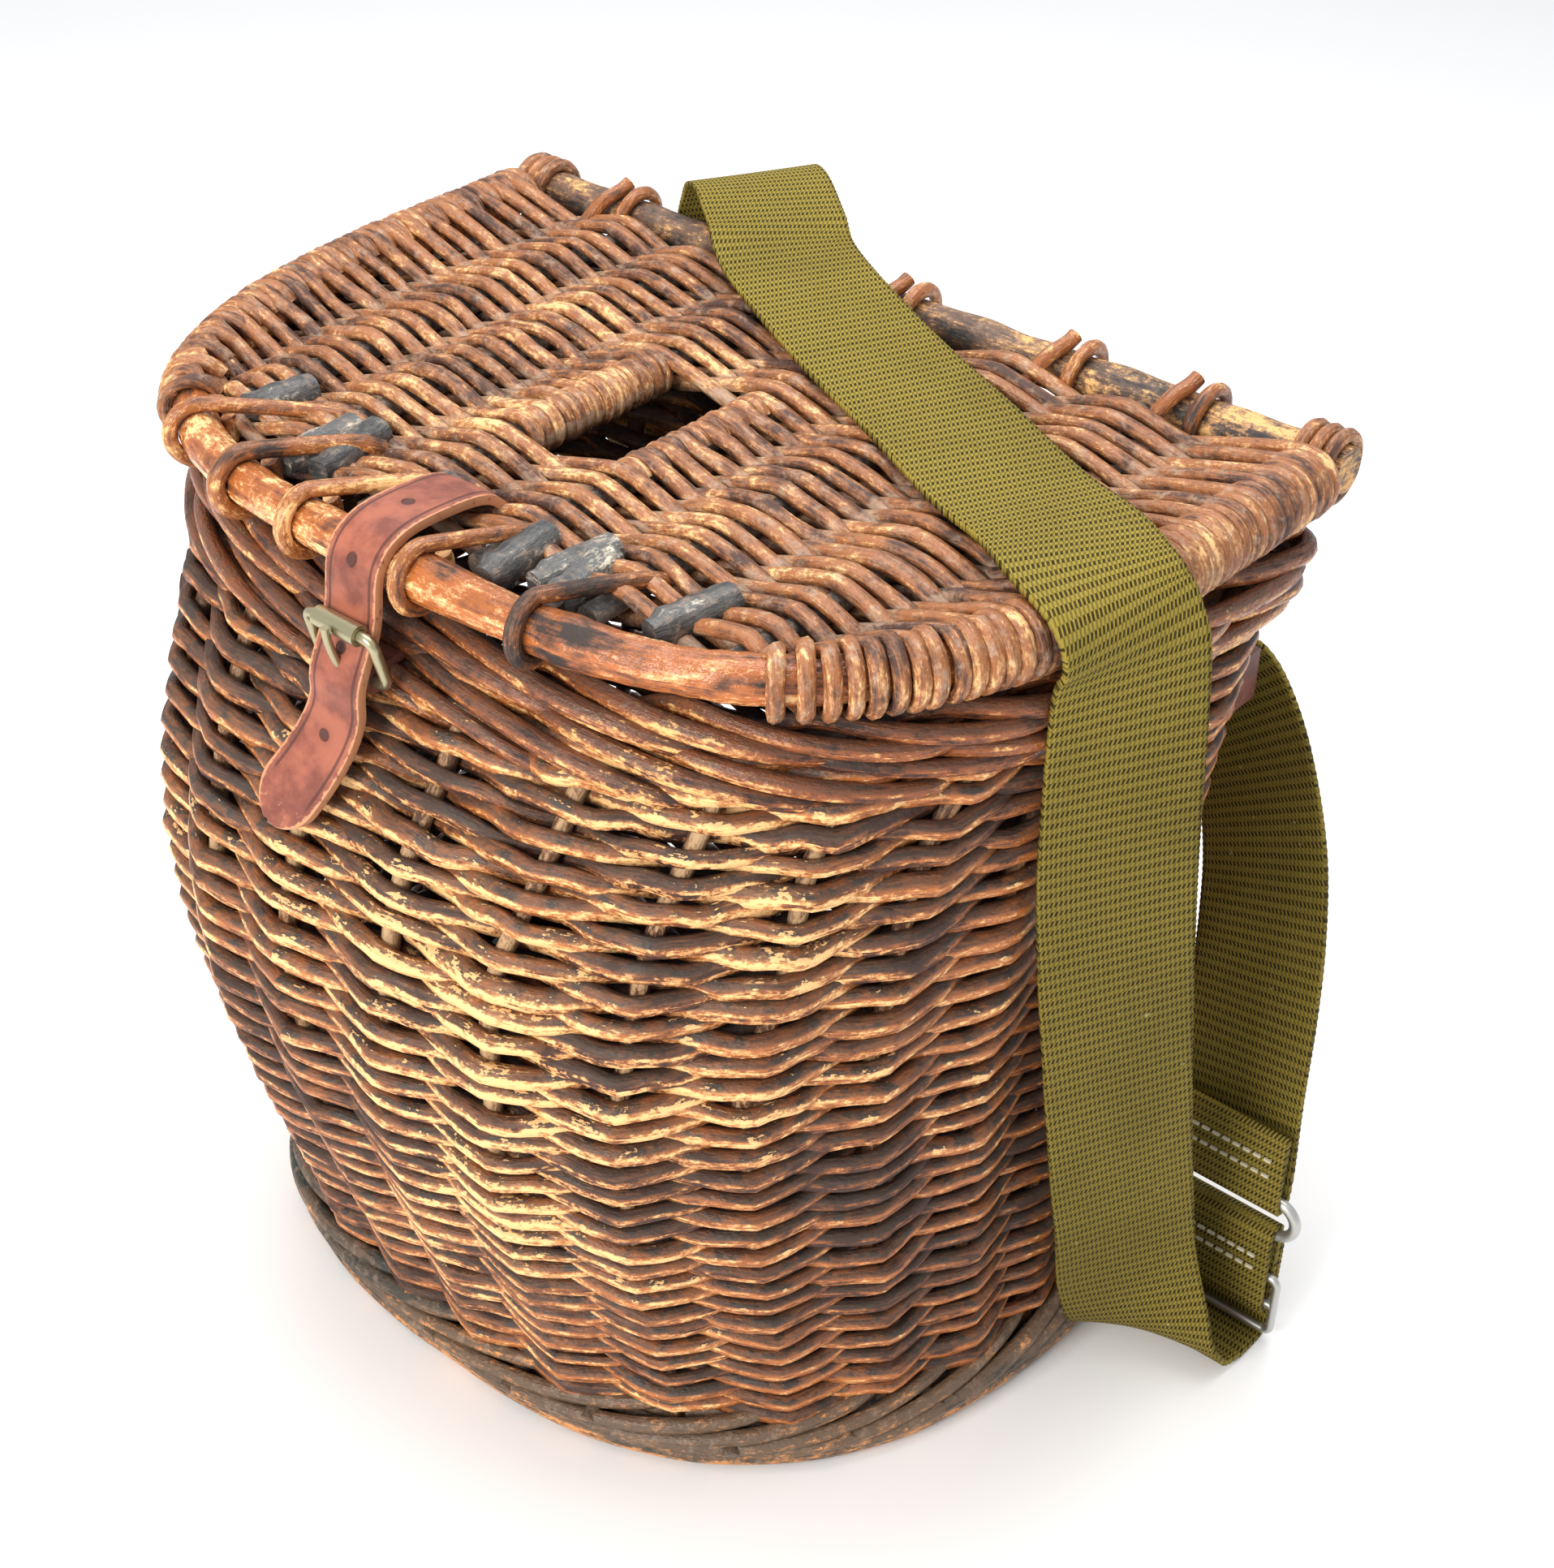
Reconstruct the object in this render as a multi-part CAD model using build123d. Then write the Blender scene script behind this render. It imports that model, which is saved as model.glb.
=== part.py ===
"""Wicker fishing creel: a bellied willow basket with a hinged lid, a leather closing strap on a roller buckle and a
webbing shoulder strap. Millimetres. +Z is up, the front faces -Y and the origin is the middle of the foot's underside."""
from build123d import *
import math
import os

# Willow sizes
ROD = 4.3  # weaver
STAKE = 5.0  # upright in the wall
LID_STAKE = 7.0
BASE_STICK = 7.0
BOW_ROD = 12.0
BACK_ROD = 13.0
LOOP_ROD = 5.0

# Basket
BASE_HALF_WIDTH = 138.0
BASE_BACK = 88.0
BASE_FRONT = -88.0
RIM_HALF_WIDTH = 152.0
RIM_BACK = 119.0
RIM_FRONT = -74.0
RIM_TOP = 264.0
BELLY = 39.0  # how far the front swells past the line from foot to rim
BELLY_SKEW = 1.36  # above 1 lifts the fullest height
WIDTH_FLARE = 3.0  # powers of height by which the sides and the back open out
BACK_FLARE = 1.4
BASE_POWER = 2.5  # roundness of the front at foot and rim, 2 is an ellipse
RIM_POWER = 3.0
CORNER_DEPTH = 30.0
CORNER_POWER = 4.0
WALL = 13.5
FOOT_HEIGHT = 17.0
FOOT_SWELL = 3.0
FOOT_WIDTH = 12.0
BASE_BOTTOM = 4.4
BASE_THICKNESS = 9.6
BORDER_HEIGHT = 10.9
BORDER_SWELL = 2.0
WALE_HEIGHT = 12.0
WALE_SWELL = 1.5
SIDE_STAKES = 24
BASE_STICKS = 7
BASE_STICK_PITCH = 32.0

# Lid
LID_WIDTH = 310.0
LID_BACK = 123.6
LID_FRONT = -85.1
LID_POWER = 3.32
LID_WEAVE_THICKNESS = 12.0
LID_FRONT_GAP = 15.0  # open strip between the weave and the bow rod
LID_STAKE_X = (-96.0, -64.0, 52.0, 92.0)
TIE_X = (-90.2, -58.2, -32.5, 9.1, 46.2)  # front ties, each clear of the stakes
SLOT_MIDDLE = -5.0
SLOT_WIDTH = 24.0
SLOT_FRONT = -12.0
SLOT_BACK = 40.0
WRAP_FRONT = -48.0  # where the wrapped sides of the lid end
LOOP_X = (-103.0, 8.4, 67.0, 107.0)
LOOP_NOTCH = 7.5  # width of the weave's gaps for the hinge loops

# Closing strap and buckle
LEATHER_WIDTH = 18.0
LEATHER = 2.6
LEATHER_HOLE = 3.4
STRAP_SLOT_Y = -43.0
STRAP_SLOT_LENGTH = 18.0
HOLE_STATIONS = (13, 18, 32)  # steps along the closing strap that get a hole
TIP_SHARE = 0.35  # width left at the very tip
BUCKLE_X = -4.5
BUCKLE_WIRE = 3.0
BUCKLE_LENGTH = 15.0
BUCKLE_INSIDE = 21.0
BUCKLE_Z = 248.0
BUCKLE_TILT = 14.0  # degrees, top leaning out from the wall
BUCKLE_STANDOFF = 3.3  # from the waling to the hinge bar, so that the prong can turn down past it
ROLLER = 5.6
ROLLER_BORE = 3.3
PRONG_WIRE = 2.2
CHAPE_WIDTH = 14.0
CHAPE = 2.0
CHAPE_REACH = 22.0

# Shoulder strap
WEBBING_WIDTH = 42.0
WEBBING = 2.0
LOOP_BRIDGE_LEFT_X = -94.0
LOOP_BRIDGE_RIGHT_X = 107.2  # its ends pass between two uprights
LOOP_BRIDGE_LENGTH = 52.0
LOOP_BRIDGE_HEIGHT = 16.0
LOOP_BRIDGE_THICKNESS = 3.0
LOOP_BRIDGE_GAP = 7.0
LOOP_BRIDGE_Z = 205.0
LOOP_BRIDGE_ROOT = 9.0
RING_X = 164.5
RING_Y = 80.0
RING_Z = 45.0  # lower bar
RING_WIRE = 3.6
RING_RISE = 13.0  # from lower bar to upper bar
RING_TUCK = 1.5  # how far inside the webbing's edges the round ends start
SLIDER_WIRE = 2.6
SLIDER_Z = 5.0  # lower bar
SLIDER_PITCH = 11.0
SLIDER_SPARE = 1.5
HEM_TAIL = 28.0
STITCH = 0.8
STITCH_ROWS = (8.0, 13.0)  # from the middle of the ring's lower bar
REAR_STITCH_ROWS = (12.0, 18.0)  # from the middle of its upper bar
STITCH_PITCH = 3.5
STITCH_LENGTH = 2.3

# Clearances
SEAM = 0.1  # between willow pieces that bed on each other
END_GAP = 1.6  # at the slanting ends of the wall's uprights
FREE = 0.3  # between pieces that move or flex against each other

WALE_BOTTOM = RIM_TOP - BORDER_HEIGHT - WALE_HEIGHT
BORDER_BOTTOM = RIM_TOP - BORDER_HEIGHT
LID_Z = RIM_TOP + FREE + ROD + SEAM + BOW_ROD / 2  # middle of the bow rod, wrapped side resting on the rim
HINGE_Y = LID_BACK - BACK_ROD / 2
HINGE_Z = LID_Z
WRAP_RADIUS = BOW_ROD / 2 + SEAM + ROD
PARTS = {}


def put(name, shape):
    """Keep a sub-part under its name."""
    PARTS[name] = shape


def rise(z, power):
    """0 at the foot, 1 at the rim, following a power of the height."""
    return (z / RIM_TOP) ** power


def outline_points(half, back, front, power):
    """Closed D: a superellipse in front of the corners, a squarer one behind them."""
    corner_y = back - CORNER_DEPTH
    points = []
    front_steps, back_steps = 14, 10
    for i in range(front_steps):
        t = math.pi * i / front_steps
        c, s = math.cos(t), math.sin(t)
        x = math.copysign(half * abs(c) ** (2 / power), c)
        points.append((x, corner_y - (corner_y - front) * s ** (2 / power)))
    for i in range(back_steps):
        t = math.pi * i / back_steps
        c, s = math.cos(t), math.sin(t)
        x = math.copysign(half * abs(c) ** (2 / CORNER_POWER), -c)
        points.append((x, corner_y + CORNER_DEPTH * s ** (2 / CORNER_POWER)))
    return points


def basket_size(z):
    """Half width, back, front and roundness of the basket's outside at height z."""
    t = z / RIM_TOP
    half = BASE_HALF_WIDTH + (RIM_HALF_WIDTH - BASE_HALF_WIDTH) * rise(z, WIDTH_FLARE)
    back = BASE_BACK + (RIM_BACK - BASE_BACK) * rise(z, BACK_FLARE)
    belly = BELLY * math.sin(math.pi * rise(z, BELLY_SKEW))
    front = BASE_FRONT + (RIM_FRONT - BASE_FRONT) * t - belly
    return half, back, front, BASE_POWER + (RIM_POWER - BASE_POWER) * t


def basket_wire(z, grow):
    """Outline of the basket at height z, pushed out by grow."""
    half, back, front, power = basket_size(z)
    points = outline_points(half + grow, back + grow, front - grow, power)
    return Wire([Spline([(x, y, z) for x, y in points], periodic=True)])


def basket_loft(levels):
    """Solid through basket outlines, levels being (height, grow)."""
    return Solid.make_loft([basket_wire(z, grow) for z, grow in levels])


def basket_ring(levels, inner_grow):
    """Ring between the outlines of levels and a straight inner face."""
    bottom, top = levels[0][0], levels[-1][0]
    inner = basket_loft([(bottom, inner_grow), (top, inner_grow)])
    return basket_loft(levels) - inner


def wall_heights(bottom, top, count):
    """Evenly spaced heights from bottom to top."""
    return [bottom + (top - bottom) * i / (count - 1) for i in range(count)]


def stake_point(angle, z):
    """Point on the middle of the wall at height z, angle 0 at the right corner and 180 at the left."""
    half, back, front, power = basket_size(z)
    half, back, front = half - WALL / 2, back - WALL / 2, front + WALL / 2
    corner_y = back - CORNER_DEPTH
    c, s = math.cos(math.radians(angle)), math.sin(math.radians(angle))
    if s >= 0:
        n, depth = power, corner_y - front
    else:
        n, depth = CORNER_POWER, CORNER_DEPTH
    x = math.copysign(half * abs(c) ** (2 / n), c)
    y = corner_y - math.copysign(depth * abs(s) ** (2 / n), s)
    return Vector(x, y, z)


def stake_angles():
    """Angles of stakes set evenly round the middle height of the wall."""
    middle_z = RIM_TOP / 2
    steps = 720
    walk = [stake_point(360 * i / steps, middle_z) for i in range(steps + 1)]
    run = [0.0]
    for a, b in zip(walk, walk[1:]):
        run.append(run[-1] + (b - a).length)
    start = run[steps // 4]  # the first gap straddles the middle of the front
    angles = []
    for k in range(SIDE_STAKES):
        target = (start + run[-1] * (k + 0.5) / SIDE_STAKES) % run[-1]
        i = next(j for j, r in enumerate(run) if r >= target)
        share = (target - run[i - 1]) / (run[i] - run[i - 1])
        angles.append(360 * (i - 1 + share) / steps)
    return angles


def tube(path, diameter):
    """Round rod along a path."""
    start = Plane(origin=path @ 0, z_dir=path % 0)
    return sweep(start * Circle(diameter / 2), path=path)


def solid_of(shape):
    """The single solid in a result."""
    return shape.solids()[0]


def side_stakes():
    """Uprights on the middle of the wall, from the foot to under the border."""
    stakes, bores = [], []
    for angle in stake_angles():
        heights = wall_heights(FOOT_HEIGHT + END_GAP, BORDER_BOTTOM - END_GAP, 6)
        path = Spline([stake_point(angle, z) for z in heights])
        stakes.append(solid_of(tube(path, STAKE)))
        beyond = wall_heights(FOOT_HEIGHT - END_GAP, BORDER_BOTTOM + END_GAP, 6)
        bores.append(solid_of(tube(Spline([stake_point(angle, z) for z in beyond]), STAKE + 2 * SEAM)))
    return stakes, bores


def basket():
    """Base, wall, bands and border."""
    stakes, bores = side_stakes()
    put("side_stakes", Compound(stakes))

    foot = [(0, 0), (FOOT_HEIGHT / 2, FOOT_SWELL), (FOOT_HEIGHT, 0)]
    put("foot_border", basket_ring(foot, -FOOT_WIDTH))

    base_top = BASE_BOTTOM + BASE_THICKNESS
    inside = -FOOT_WIDTH - SEAM
    plate = basket_loft([(BASE_BOTTOM, inside), (base_top, inside)])
    stick_z = BASE_BOTTOM + BASE_THICKNESS / 2
    depth = 2 * (BASE_BACK - BASE_FRONT)
    sticks = []
    for i in range(BASE_STICKS):
        x = (i - (BASE_STICKS - 1) / 2) * BASE_STICK_PITCH
        place = Pos(x, 0, stick_z) * Rot(90, 0, 0)
        sticks.append(solid_of((place * Cylinder(BASE_STICK / 2, depth)) & plate))
        plate -= place * Cylinder(BASE_STICK / 2 + SEAM, depth)
    put("base_sticks", Compound(sticks))
    put("base_weave", plate)

    levels = [(z, 0) for z in wall_heights(FOOT_HEIGHT + SEAM, WALE_BOTTOM - SEAM, 7)]
    hollow = [(z, -WALL) for z in wall_heights(FOOT_HEIGHT, WALE_BOTTOM, 7)]
    wall = basket_loft(levels) - basket_loft(hollow)
    put("wall_weave", wall - bores - loop_bridge_roots())

    wale_top = WALE_BOTTOM + WALE_HEIGHT - SEAM
    wale = [(WALE_BOTTOM, 0), ((WALE_BOTTOM + wale_top) / 2, WALE_SWELL), (wale_top, 0)]
    put("waling_band", basket_ring(wale, -WALL) - bores - chape_slot())

    border = [(BORDER_BOTTOM, 0), (BORDER_BOTTOM + BORDER_HEIGHT / 2, BORDER_SWELL), (RIM_TOP, 0)]
    rim = basket_ring(border, -WALL)
    for x in LOOP_X:
        rim -= hinge_ring(x, LOOP_ROD + 2 * SEAM)
        put(f"hinge_loop_{LOOP_X.index(x) + 1}", hinge_ring(x, LOOP_ROD))
    put("rim_border", rim)


def hinge_ring(x, rod):
    """Withy ring round the lid's back rod, dipping into the border."""
    radius = BACK_ROD / 2 + FREE + LOOP_ROD / 2
    return Pos(x, HINGE_Y, HINGE_Z) * Rot(0, 90, 0) * Torus(radius, rod / 2)


def lid_points(inset):
    """Open D of the lid's edge, from the right back corner round the front to the left one."""
    half = LID_WIDTH / 2 - inset
    front = LID_FRONT + (inset - ROD)
    back = HINGE_Y - BACK_ROD / 2 - SEAM
    depth = back - front
    steps = 16
    points = []
    for i in range(steps + 1):
        t = math.pi * i / steps
        c, s = math.cos(t), math.sin(t)
        x = math.copysign(half * abs(c) ** (2 / LID_POWER), c)
        points.append((x, back - depth * abs(s) ** (2 / LID_POWER), LID_Z))
    return points


def lid_edge_wire(inset):
    """The lid's D closed along its straight back."""
    points = lid_points(inset)
    return Wire([Spline(points), Line(points[-1], points[0])])


def bow_path():
    """Middle line of the bow rod."""
    return Spline(lid_points(ROD + SEAM + BOW_ROD / 2))


def bow_at(path, x):
    """Where the bow's front passes x: its share along the path."""
    low, high = 0.2, 0.8
    for _ in range(40):
        middle = (low + high) / 2
        if (path @ middle).X > x:
            low = middle
        else:
            high = middle
    return low


def bow_side(path, y):
    """Where the bow's right side passes y: its share along the path."""
    low, high = 0.0, 0.4
    for _ in range(40):
        middle = (low + high) / 2
        if (path @ middle).Y > y:
            low = middle
        else:
            high = middle
    return low


def lid():
    """Bow, back rod, stakes, weave, wraps and ties."""
    path = bow_path()
    lashed = Rot(0, 90, 0) * Cylinder(BACK_ROD / 2 + ROD + 2 * SEAM, LID_WIDTH)
    put("lid_bow_rod", tube(path, BOW_ROD) - Pos(0, HINGE_Y, HINGE_Z) * lashed)
    back_length = LID_WIDTH - 2 * ROD
    back_rod = Rot(0, 90, 0) * Cylinder(BACK_ROD / 2, back_length)
    put("lid_back_rod", Pos(0, HINGE_Y, HINGE_Z) * chamfer(back_rod.edges().filter_by(GeomType.CIRCLE), 1.5))

    slot_left = SLOT_MIDDLE - SLOT_WIDTH / 2
    slot_right = SLOT_MIDDLE + SLOT_WIDTH / 2
    slot_wrap = LID_STAKE / 2 + SEAM + ROD
    edge_stakes = (slot_left - slot_wrap, slot_right + slot_wrap)
    slot_length = SLOT_BACK - SLOT_FRONT
    slot_y = (SLOT_BACK + SLOT_FRONT) / 2

    inner_edge = 2 * WRAP_RADIUS + SEAM
    panel = thick_plate(lid_edge_wire(inner_edge), LID_WEAVE_THICKNESS)
    front_edge = LID_FRONT + ROD + BOW_ROD + LID_FRONT_GAP
    bare_half = bow_reach(path, WRAP_FRONT)
    trim_depth = front_edge - LID_FRONT
    trim = Pos(0, front_edge - trim_depth / 2, LID_Z) * Box(2 * bare_half, trim_depth, 2 * LID_WEAVE_THICKNESS)
    panel -= trim

    field = thick_plate(lid_edge_wire(ROD + 2 * SEAM + BOW_ROD), 2 * LID_STAKE)
    stakes = []
    for x in LID_STAKE_X + edge_stakes:
        place = Pos(x, 0, LID_Z) * Rot(90, 0, 0)
        stakes.append(solid_of((place * Cylinder(LID_STAKE / 2, 2 * LID_WIDTH)) & field))
        panel -= place * Cylinder(LID_STAKE / 2 + SEAM, 2 * LID_WIDTH)
    put("lid_stakes", Compound(stakes))

    hole_width = SLOT_WIDTH + 4 * slot_wrap + 2 * SEAM
    panel -= Pos(SLOT_MIDDLE, slot_y, LID_Z) * Box(hole_width, slot_length, 2 * LID_WEAVE_THICKNESS)
    loop_reach = BACK_ROD / 2 + FREE + LOOP_ROD + FREE
    for x in LOOP_X:
        panel -= Pos(x, HINGE_Y, HINGE_Z) * Box(LOOP_NOTCH, 2 * loop_reach, 2 * LID_WEAVE_THICKNESS)
    put("lid_weave", panel - closing_strap_slot())

    for side, x in zip(("left", "right"), edge_stakes):
        place = Pos(x, slot_y, LID_Z) * Rot(90, 0, 0)
        sleeve = Cylinder(slot_wrap, slot_length - 2 * SEAM) - Cylinder(LID_STAKE / 2 + SEAM, slot_length)
        put(f"slot_wrap_{side}", place * sleeve)

    share = bow_side(path, WRAP_FRONT)
    right_path = path.trim(0.01, share)
    for side, edge in (("right", right_path), ("left", mirror(right_path, about=Plane.YZ))):
        sleeve = tube(edge, 2 * WRAP_RADIUS) - tube(edge, BOW_ROD + 2 * SEAM)
        put(f"side_wrap_{side}", sleeve)

    ties = []
    for x in TIE_X:
        at = bow_at(path, x)
        ring = Torus(BOW_ROD / 2 + SEAM + ROD / 2, ROD / 2)
        ties.append(solid_of(Plane(origin=path @ at, z_dir=path % at) * ring))
    put("front_ties", Compound(ties))


def bow_reach(path, y):
    """Half width of the lid inside the wrapped sides at y."""
    return (path @ bow_side(path, y)).X - WRAP_RADIUS


def thick_plate(wire, thickness):
    """Flat plate of a thickness about the lid's middle plane."""
    plate = extrude(Face(wire), amount=thickness / 2, both=True)
    return solid_of(plate)


def blend_route(stations, steps):
    """Catmull-Rom points and width directions between hand-set stations (point, width direction)."""
    spots = [Vector(*p) for p, _ in stations]
    sides = [Vector(*w).normalized() for _, w in stations]
    route = []
    last = len(spots) - 1
    for i in range(last):
        for k in range(steps):
            t = k / steps
            route.append((hermite(spots, i, t), hermite(sides, i, t).normalized()))
    route.append((spots[last], sides[last]))
    return route


def hermite(values, i, t):
    """Catmull-Rom value between entries i and i + 1."""
    a, b = values[i], values[i + 1]
    before = values[i - 1] if i > 0 else a * 2 - b
    after = values[i + 2] if i + 2 < len(values) else b * 2 - a
    slope_a, slope_b = (b - before) * 0.5, (after - a) * 0.5
    square, cube = t * t, t * t * t
    return (
        a * (2 * cube - 3 * square + 1)
        + slope_a * (cube - 2 * square + t)
        + b * (3 * square - 2 * cube)
        + slope_b * (cube - square)
    )


def ribbon(route, width, thickness, round_end=False):
    """Flat strip along (point, width direction) pairs, one flat cross-section to the next."""
    count = len(route)
    run = [0.0]
    for (a, _), (b, _) in zip(route, route[1:]):
        run.append(run[-1] + (b - a).length)
    sections = []
    for i, (point, side) in enumerate(route):
        ahead = route[min(i + 1, count - 1)][0]
        behind = route[max(i - 1, 0)][0]
        tangent = (ahead - behind).normalized()
        across = (side - tangent * side.dot(tangent)).normalized()
        normal = tangent.cross(across)
        half = width / 2
        left = run[-1] - run[i]
        if round_end and left < half:
            half = max(math.sqrt(half**2 - (half - left) ** 2), TIP_SHARE * half)
        a, b = across * half, normal * (thickness / 2)
        corners = [point + a + b, point - a + b, point - a - b, point + a - b]
        sections.append(Wire.make_polygon(corners, close=True))
    return Solid.make_loft(sections, ruled=True)


def turn(middle, radius, start, sweep_angle, steps, side):
    """Stations on an arc in the YZ plane: angle 0 points to +Y, 90 to +Z."""
    x, y, z = middle
    stations = []
    for k in range(steps + 1):
        angle = math.radians(start + sweep_angle * k / steps)
        point = (x, y + radius * math.cos(angle), z + radius * math.sin(angle))
        stations.append((Vector(*point), Vector(*side)))
    return stations


def closing_strap_route():
    """From its tail under the lid, up through the weave, over the bow rod, under the roller to the tip."""
    over = LID_Z + LID_WEAVE_THICKNESS / 2
    under = LID_Z - LID_WEAVE_THICKNESS / 2
    bow_front = LID_FRONT
    skin = FREE + LEATHER / 2
    roller_y, roller_z = roller_place()
    across = (1, 0, 0)
    stations = [
        ((BUCKLE_X, STRAP_SLOT_Y + 26, under - skin), across),
        ((BUCKLE_X, STRAP_SLOT_Y + 8, under - skin), across),
        ((BUCKLE_X, STRAP_SLOT_Y, LID_Z), across),
        ((BUCKLE_X, STRAP_SLOT_Y - 8, over + skin), across),
        ((BUCKLE_X, STRAP_SLOT_Y - 22, over + skin + 2), across),
        ((BUCKLE_X, bow_front + BOW_ROD / 2, over + skin + 1), across),
        ((BUCKLE_X, bow_front - skin - 0.5, LID_Z + 3), across),
        ((BUCKLE_X, roller_y + ROLLER / 2 + skin + 0.4, roller_z), across),
        ((BUCKLE_X, hinge_bar_y() - BUCKLE_WIRE / 2 - SEAM - CHAPE - skin - 0.4, BUCKLE_Z + 1), across),
        ((-4.9, -97.4, 240.5), (0.99, 0, -0.1)),
        ((-5.8, -98.9, 234.5), (0.98, 0, -0.16)),
        ((-7.8, -101.4, 228.6), (0.95, -0.12, -0.27)),
        ((-10.3, -104.3, 222.2), (0.93, -0.18, -0.33)),
        ((-13.9, -107.7, 215.0), (0.9, -0.2, -0.39)),
        ((-18.1, -111.1, 207.4), (0.89, -0.2, -0.42)),
    ]
    return blend_route(stations, 3)


def closing_strap_slot():
    """Gap in the lid's weave that the closing strap comes up through."""
    return Pos(BUCKLE_X, STRAP_SLOT_Y, LID_Z) * Box(LEATHER_WIDTH + 2 * FREE, STRAP_SLOT_LENGTH, 2 * LID_WEAVE_THICKNESS)


def closing_strap():
    """Leather strap with its row of holes and the slot that the prong passes."""
    route = closing_strap_route()
    strap = ribbon(route, LEATHER_WIDTH, LEATHER, round_end=True)
    for i in HOLE_STATIONS:
        point, side = route[i]
        tangent = (route[i + 1][0] - route[i - 1][0]).normalized()
        normal = tangent.cross(side)
        drill = Plane(origin=point, z_dir=normal) * Cylinder(LEATHER_HOLE / 2, 4 * LEATHER)
        strap = strap - drill
    put("closing_strap", strap - prong_sweep(PRONG_WIRE + 2 * FREE))


def hinge_bar_y():
    """Middle of the buckle's hinge bar, clear of the waling."""
    half, back, front, power = basket_size(BUCKLE_Z)
    return front - WALE_SWELL - BUCKLE_STANDOFF - BUCKLE_WIRE / 2


def buckle_plane():
    """Plane of the buckle's frame: X along the hinge bar, Y up to the roller."""
    lean = math.radians(BUCKLE_TILT)
    up = Vector(0, -math.sin(lean), math.cos(lean))
    across = Vector(1, 0, 0)
    return Plane(origin=(BUCKLE_X, hinge_bar_y(), BUCKLE_Z), x_dir=across, z_dir=across.cross(up))


def roller_place():
    """Y and Z of the roller's middle line."""
    place = buckle_plane() * Pos(0, BUCKLE_LENGTH, 0)
    return place.position.Y, place.position.Z


def buckle():
    """Wire frame, roller, prong, the leather chape that holds them and its peg."""
    plane = buckle_plane()
    half = (BUCKLE_INSIDE + BUCKLE_WIRE) / 2
    bend = BUCKLE_WIRE
    corners = [(-half, 0), (half, 0), (half, BUCKLE_LENGTH), (-half, BUCKLE_LENGTH)]
    put("buckle_frame", wire_loop(plane, corners, bend, BUCKLE_WIRE))
    roller = Cylinder(ROLLER / 2, BUCKLE_INSIDE - 2 * bend) - Cylinder(ROLLER_BORE / 2, BUCKLE_INSIDE)
    put("buckle_roller", plane * Pos(0, BUCKLE_LENGTH, 0) * Rot(0, 90, 0) * roller)
    put("buckle_prong", prong_sweep(PRONG_WIRE))


def wire_loop(plane, corners, bend, wire):
    """Closed wire frame with rounded corners, drawn on a plane."""
    path = FilletPolyline(*[plane.from_local_coords((x, y, 0)) for x, y in corners], radius=bend, close=True)
    return sweep(Plane(origin=path @ 0, z_dir=path % 0) * Circle(wire / 2), path=path)


def prong_sweep(wire):
    """Prong: a ring round the hinge bar and a tail that rests on the roller."""
    plane = buckle_plane()
    ring_radius = BUCKLE_WIRE / 2 + SEAM + PRONG_WIRE / 2
    ring = plane * Rot(0, 90, 0) * Torus(ring_radius, wire / 2)
    rest = ROLLER / 2 + SEAM + PRONG_WIRE / 2
    start = plane.from_local_coords((0, 0, ring_radius))
    middle = plane.from_local_coords((0, BUCKLE_LENGTH * 0.55, ring_radius + 1.6))
    end = plane.from_local_coords((0, BUCKLE_LENGTH + 2.5, rest))
    path = Spline([start, middle, end])
    return ring + tube(path, wire)


def chape_profile(grow):
    """Closed band round the hinge bar and the peg inside the wall, seen along X."""
    inner = BUCKLE_WIRE / 2 + SEAM - grow
    outer = inner + CHAPE + 2 * grow
    band = SlotCenterToCenter(CHAPE_REACH, 2 * outer) - SlotCenterToCenter(CHAPE_REACH, 2 * inner)
    return band


def chape_place():
    """Middle of the chape, its length along Y and its profile seen along X."""
    return Plane(origin=(BUCKLE_X, hinge_bar_y() + CHAPE_REACH / 2, BUCKLE_Z), x_dir=(0, 1, 0), z_dir=(1, 0, 0))


def chape():
    """Leather band holding the hinge bar, with a peg through it inside the basket."""
    band = extrude(chape_place() * chape_profile(0), amount=CHAPE_WIDTH / 2, both=True)
    window = PRONG_WIRE + 4 * FREE
    band -= Pos(BUCKLE_X, hinge_bar_y(), BUCKLE_Z) * Box(window, 2 * (BUCKLE_WIRE + CHAPE), 4 * BUCKLE_WIRE)
    put("buckle_chape", band)
    peg = Cylinder(BUCKLE_WIRE / 2, CHAPE_WIDTH + 12)
    put("chape_peg", Pos(BUCKLE_X, hinge_bar_y() + CHAPE_REACH, BUCKLE_Z) * Rot(0, 90, 0) * peg)


def chape_slot():
    """Opening through the waling for the chape."""
    height = BUCKLE_WIRE + 2 * (SEAM + max(CHAPE, PRONG_WIRE) + FREE)
    middle = hinge_bar_y() + CHAPE_REACH / 2
    return Pos(BUCKLE_X, middle, BUCKLE_Z) * Box(CHAPE_WIDTH + 2 * SEAM, CHAPE_REACH + 2 * BUCKLE_WIRE, height)


def back_wall_y(x, z):
    """Outside of the back wall at x and z."""
    half, back, front, power = basket_size(z)
    return back - CORNER_DEPTH + CORNER_DEPTH * (1 - abs(x / half) ** CORNER_POWER) ** (1 / CORNER_POWER)


def loop_bridge_y():
    """Middle of the leather bridges' thickness."""
    return back_wall_y(LOOP_BRIDGE_RIGHT_X, LOOP_BRIDGE_Z) + LOOP_BRIDGE_GAP + LOOP_BRIDGE_THICKNESS / 2


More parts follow.
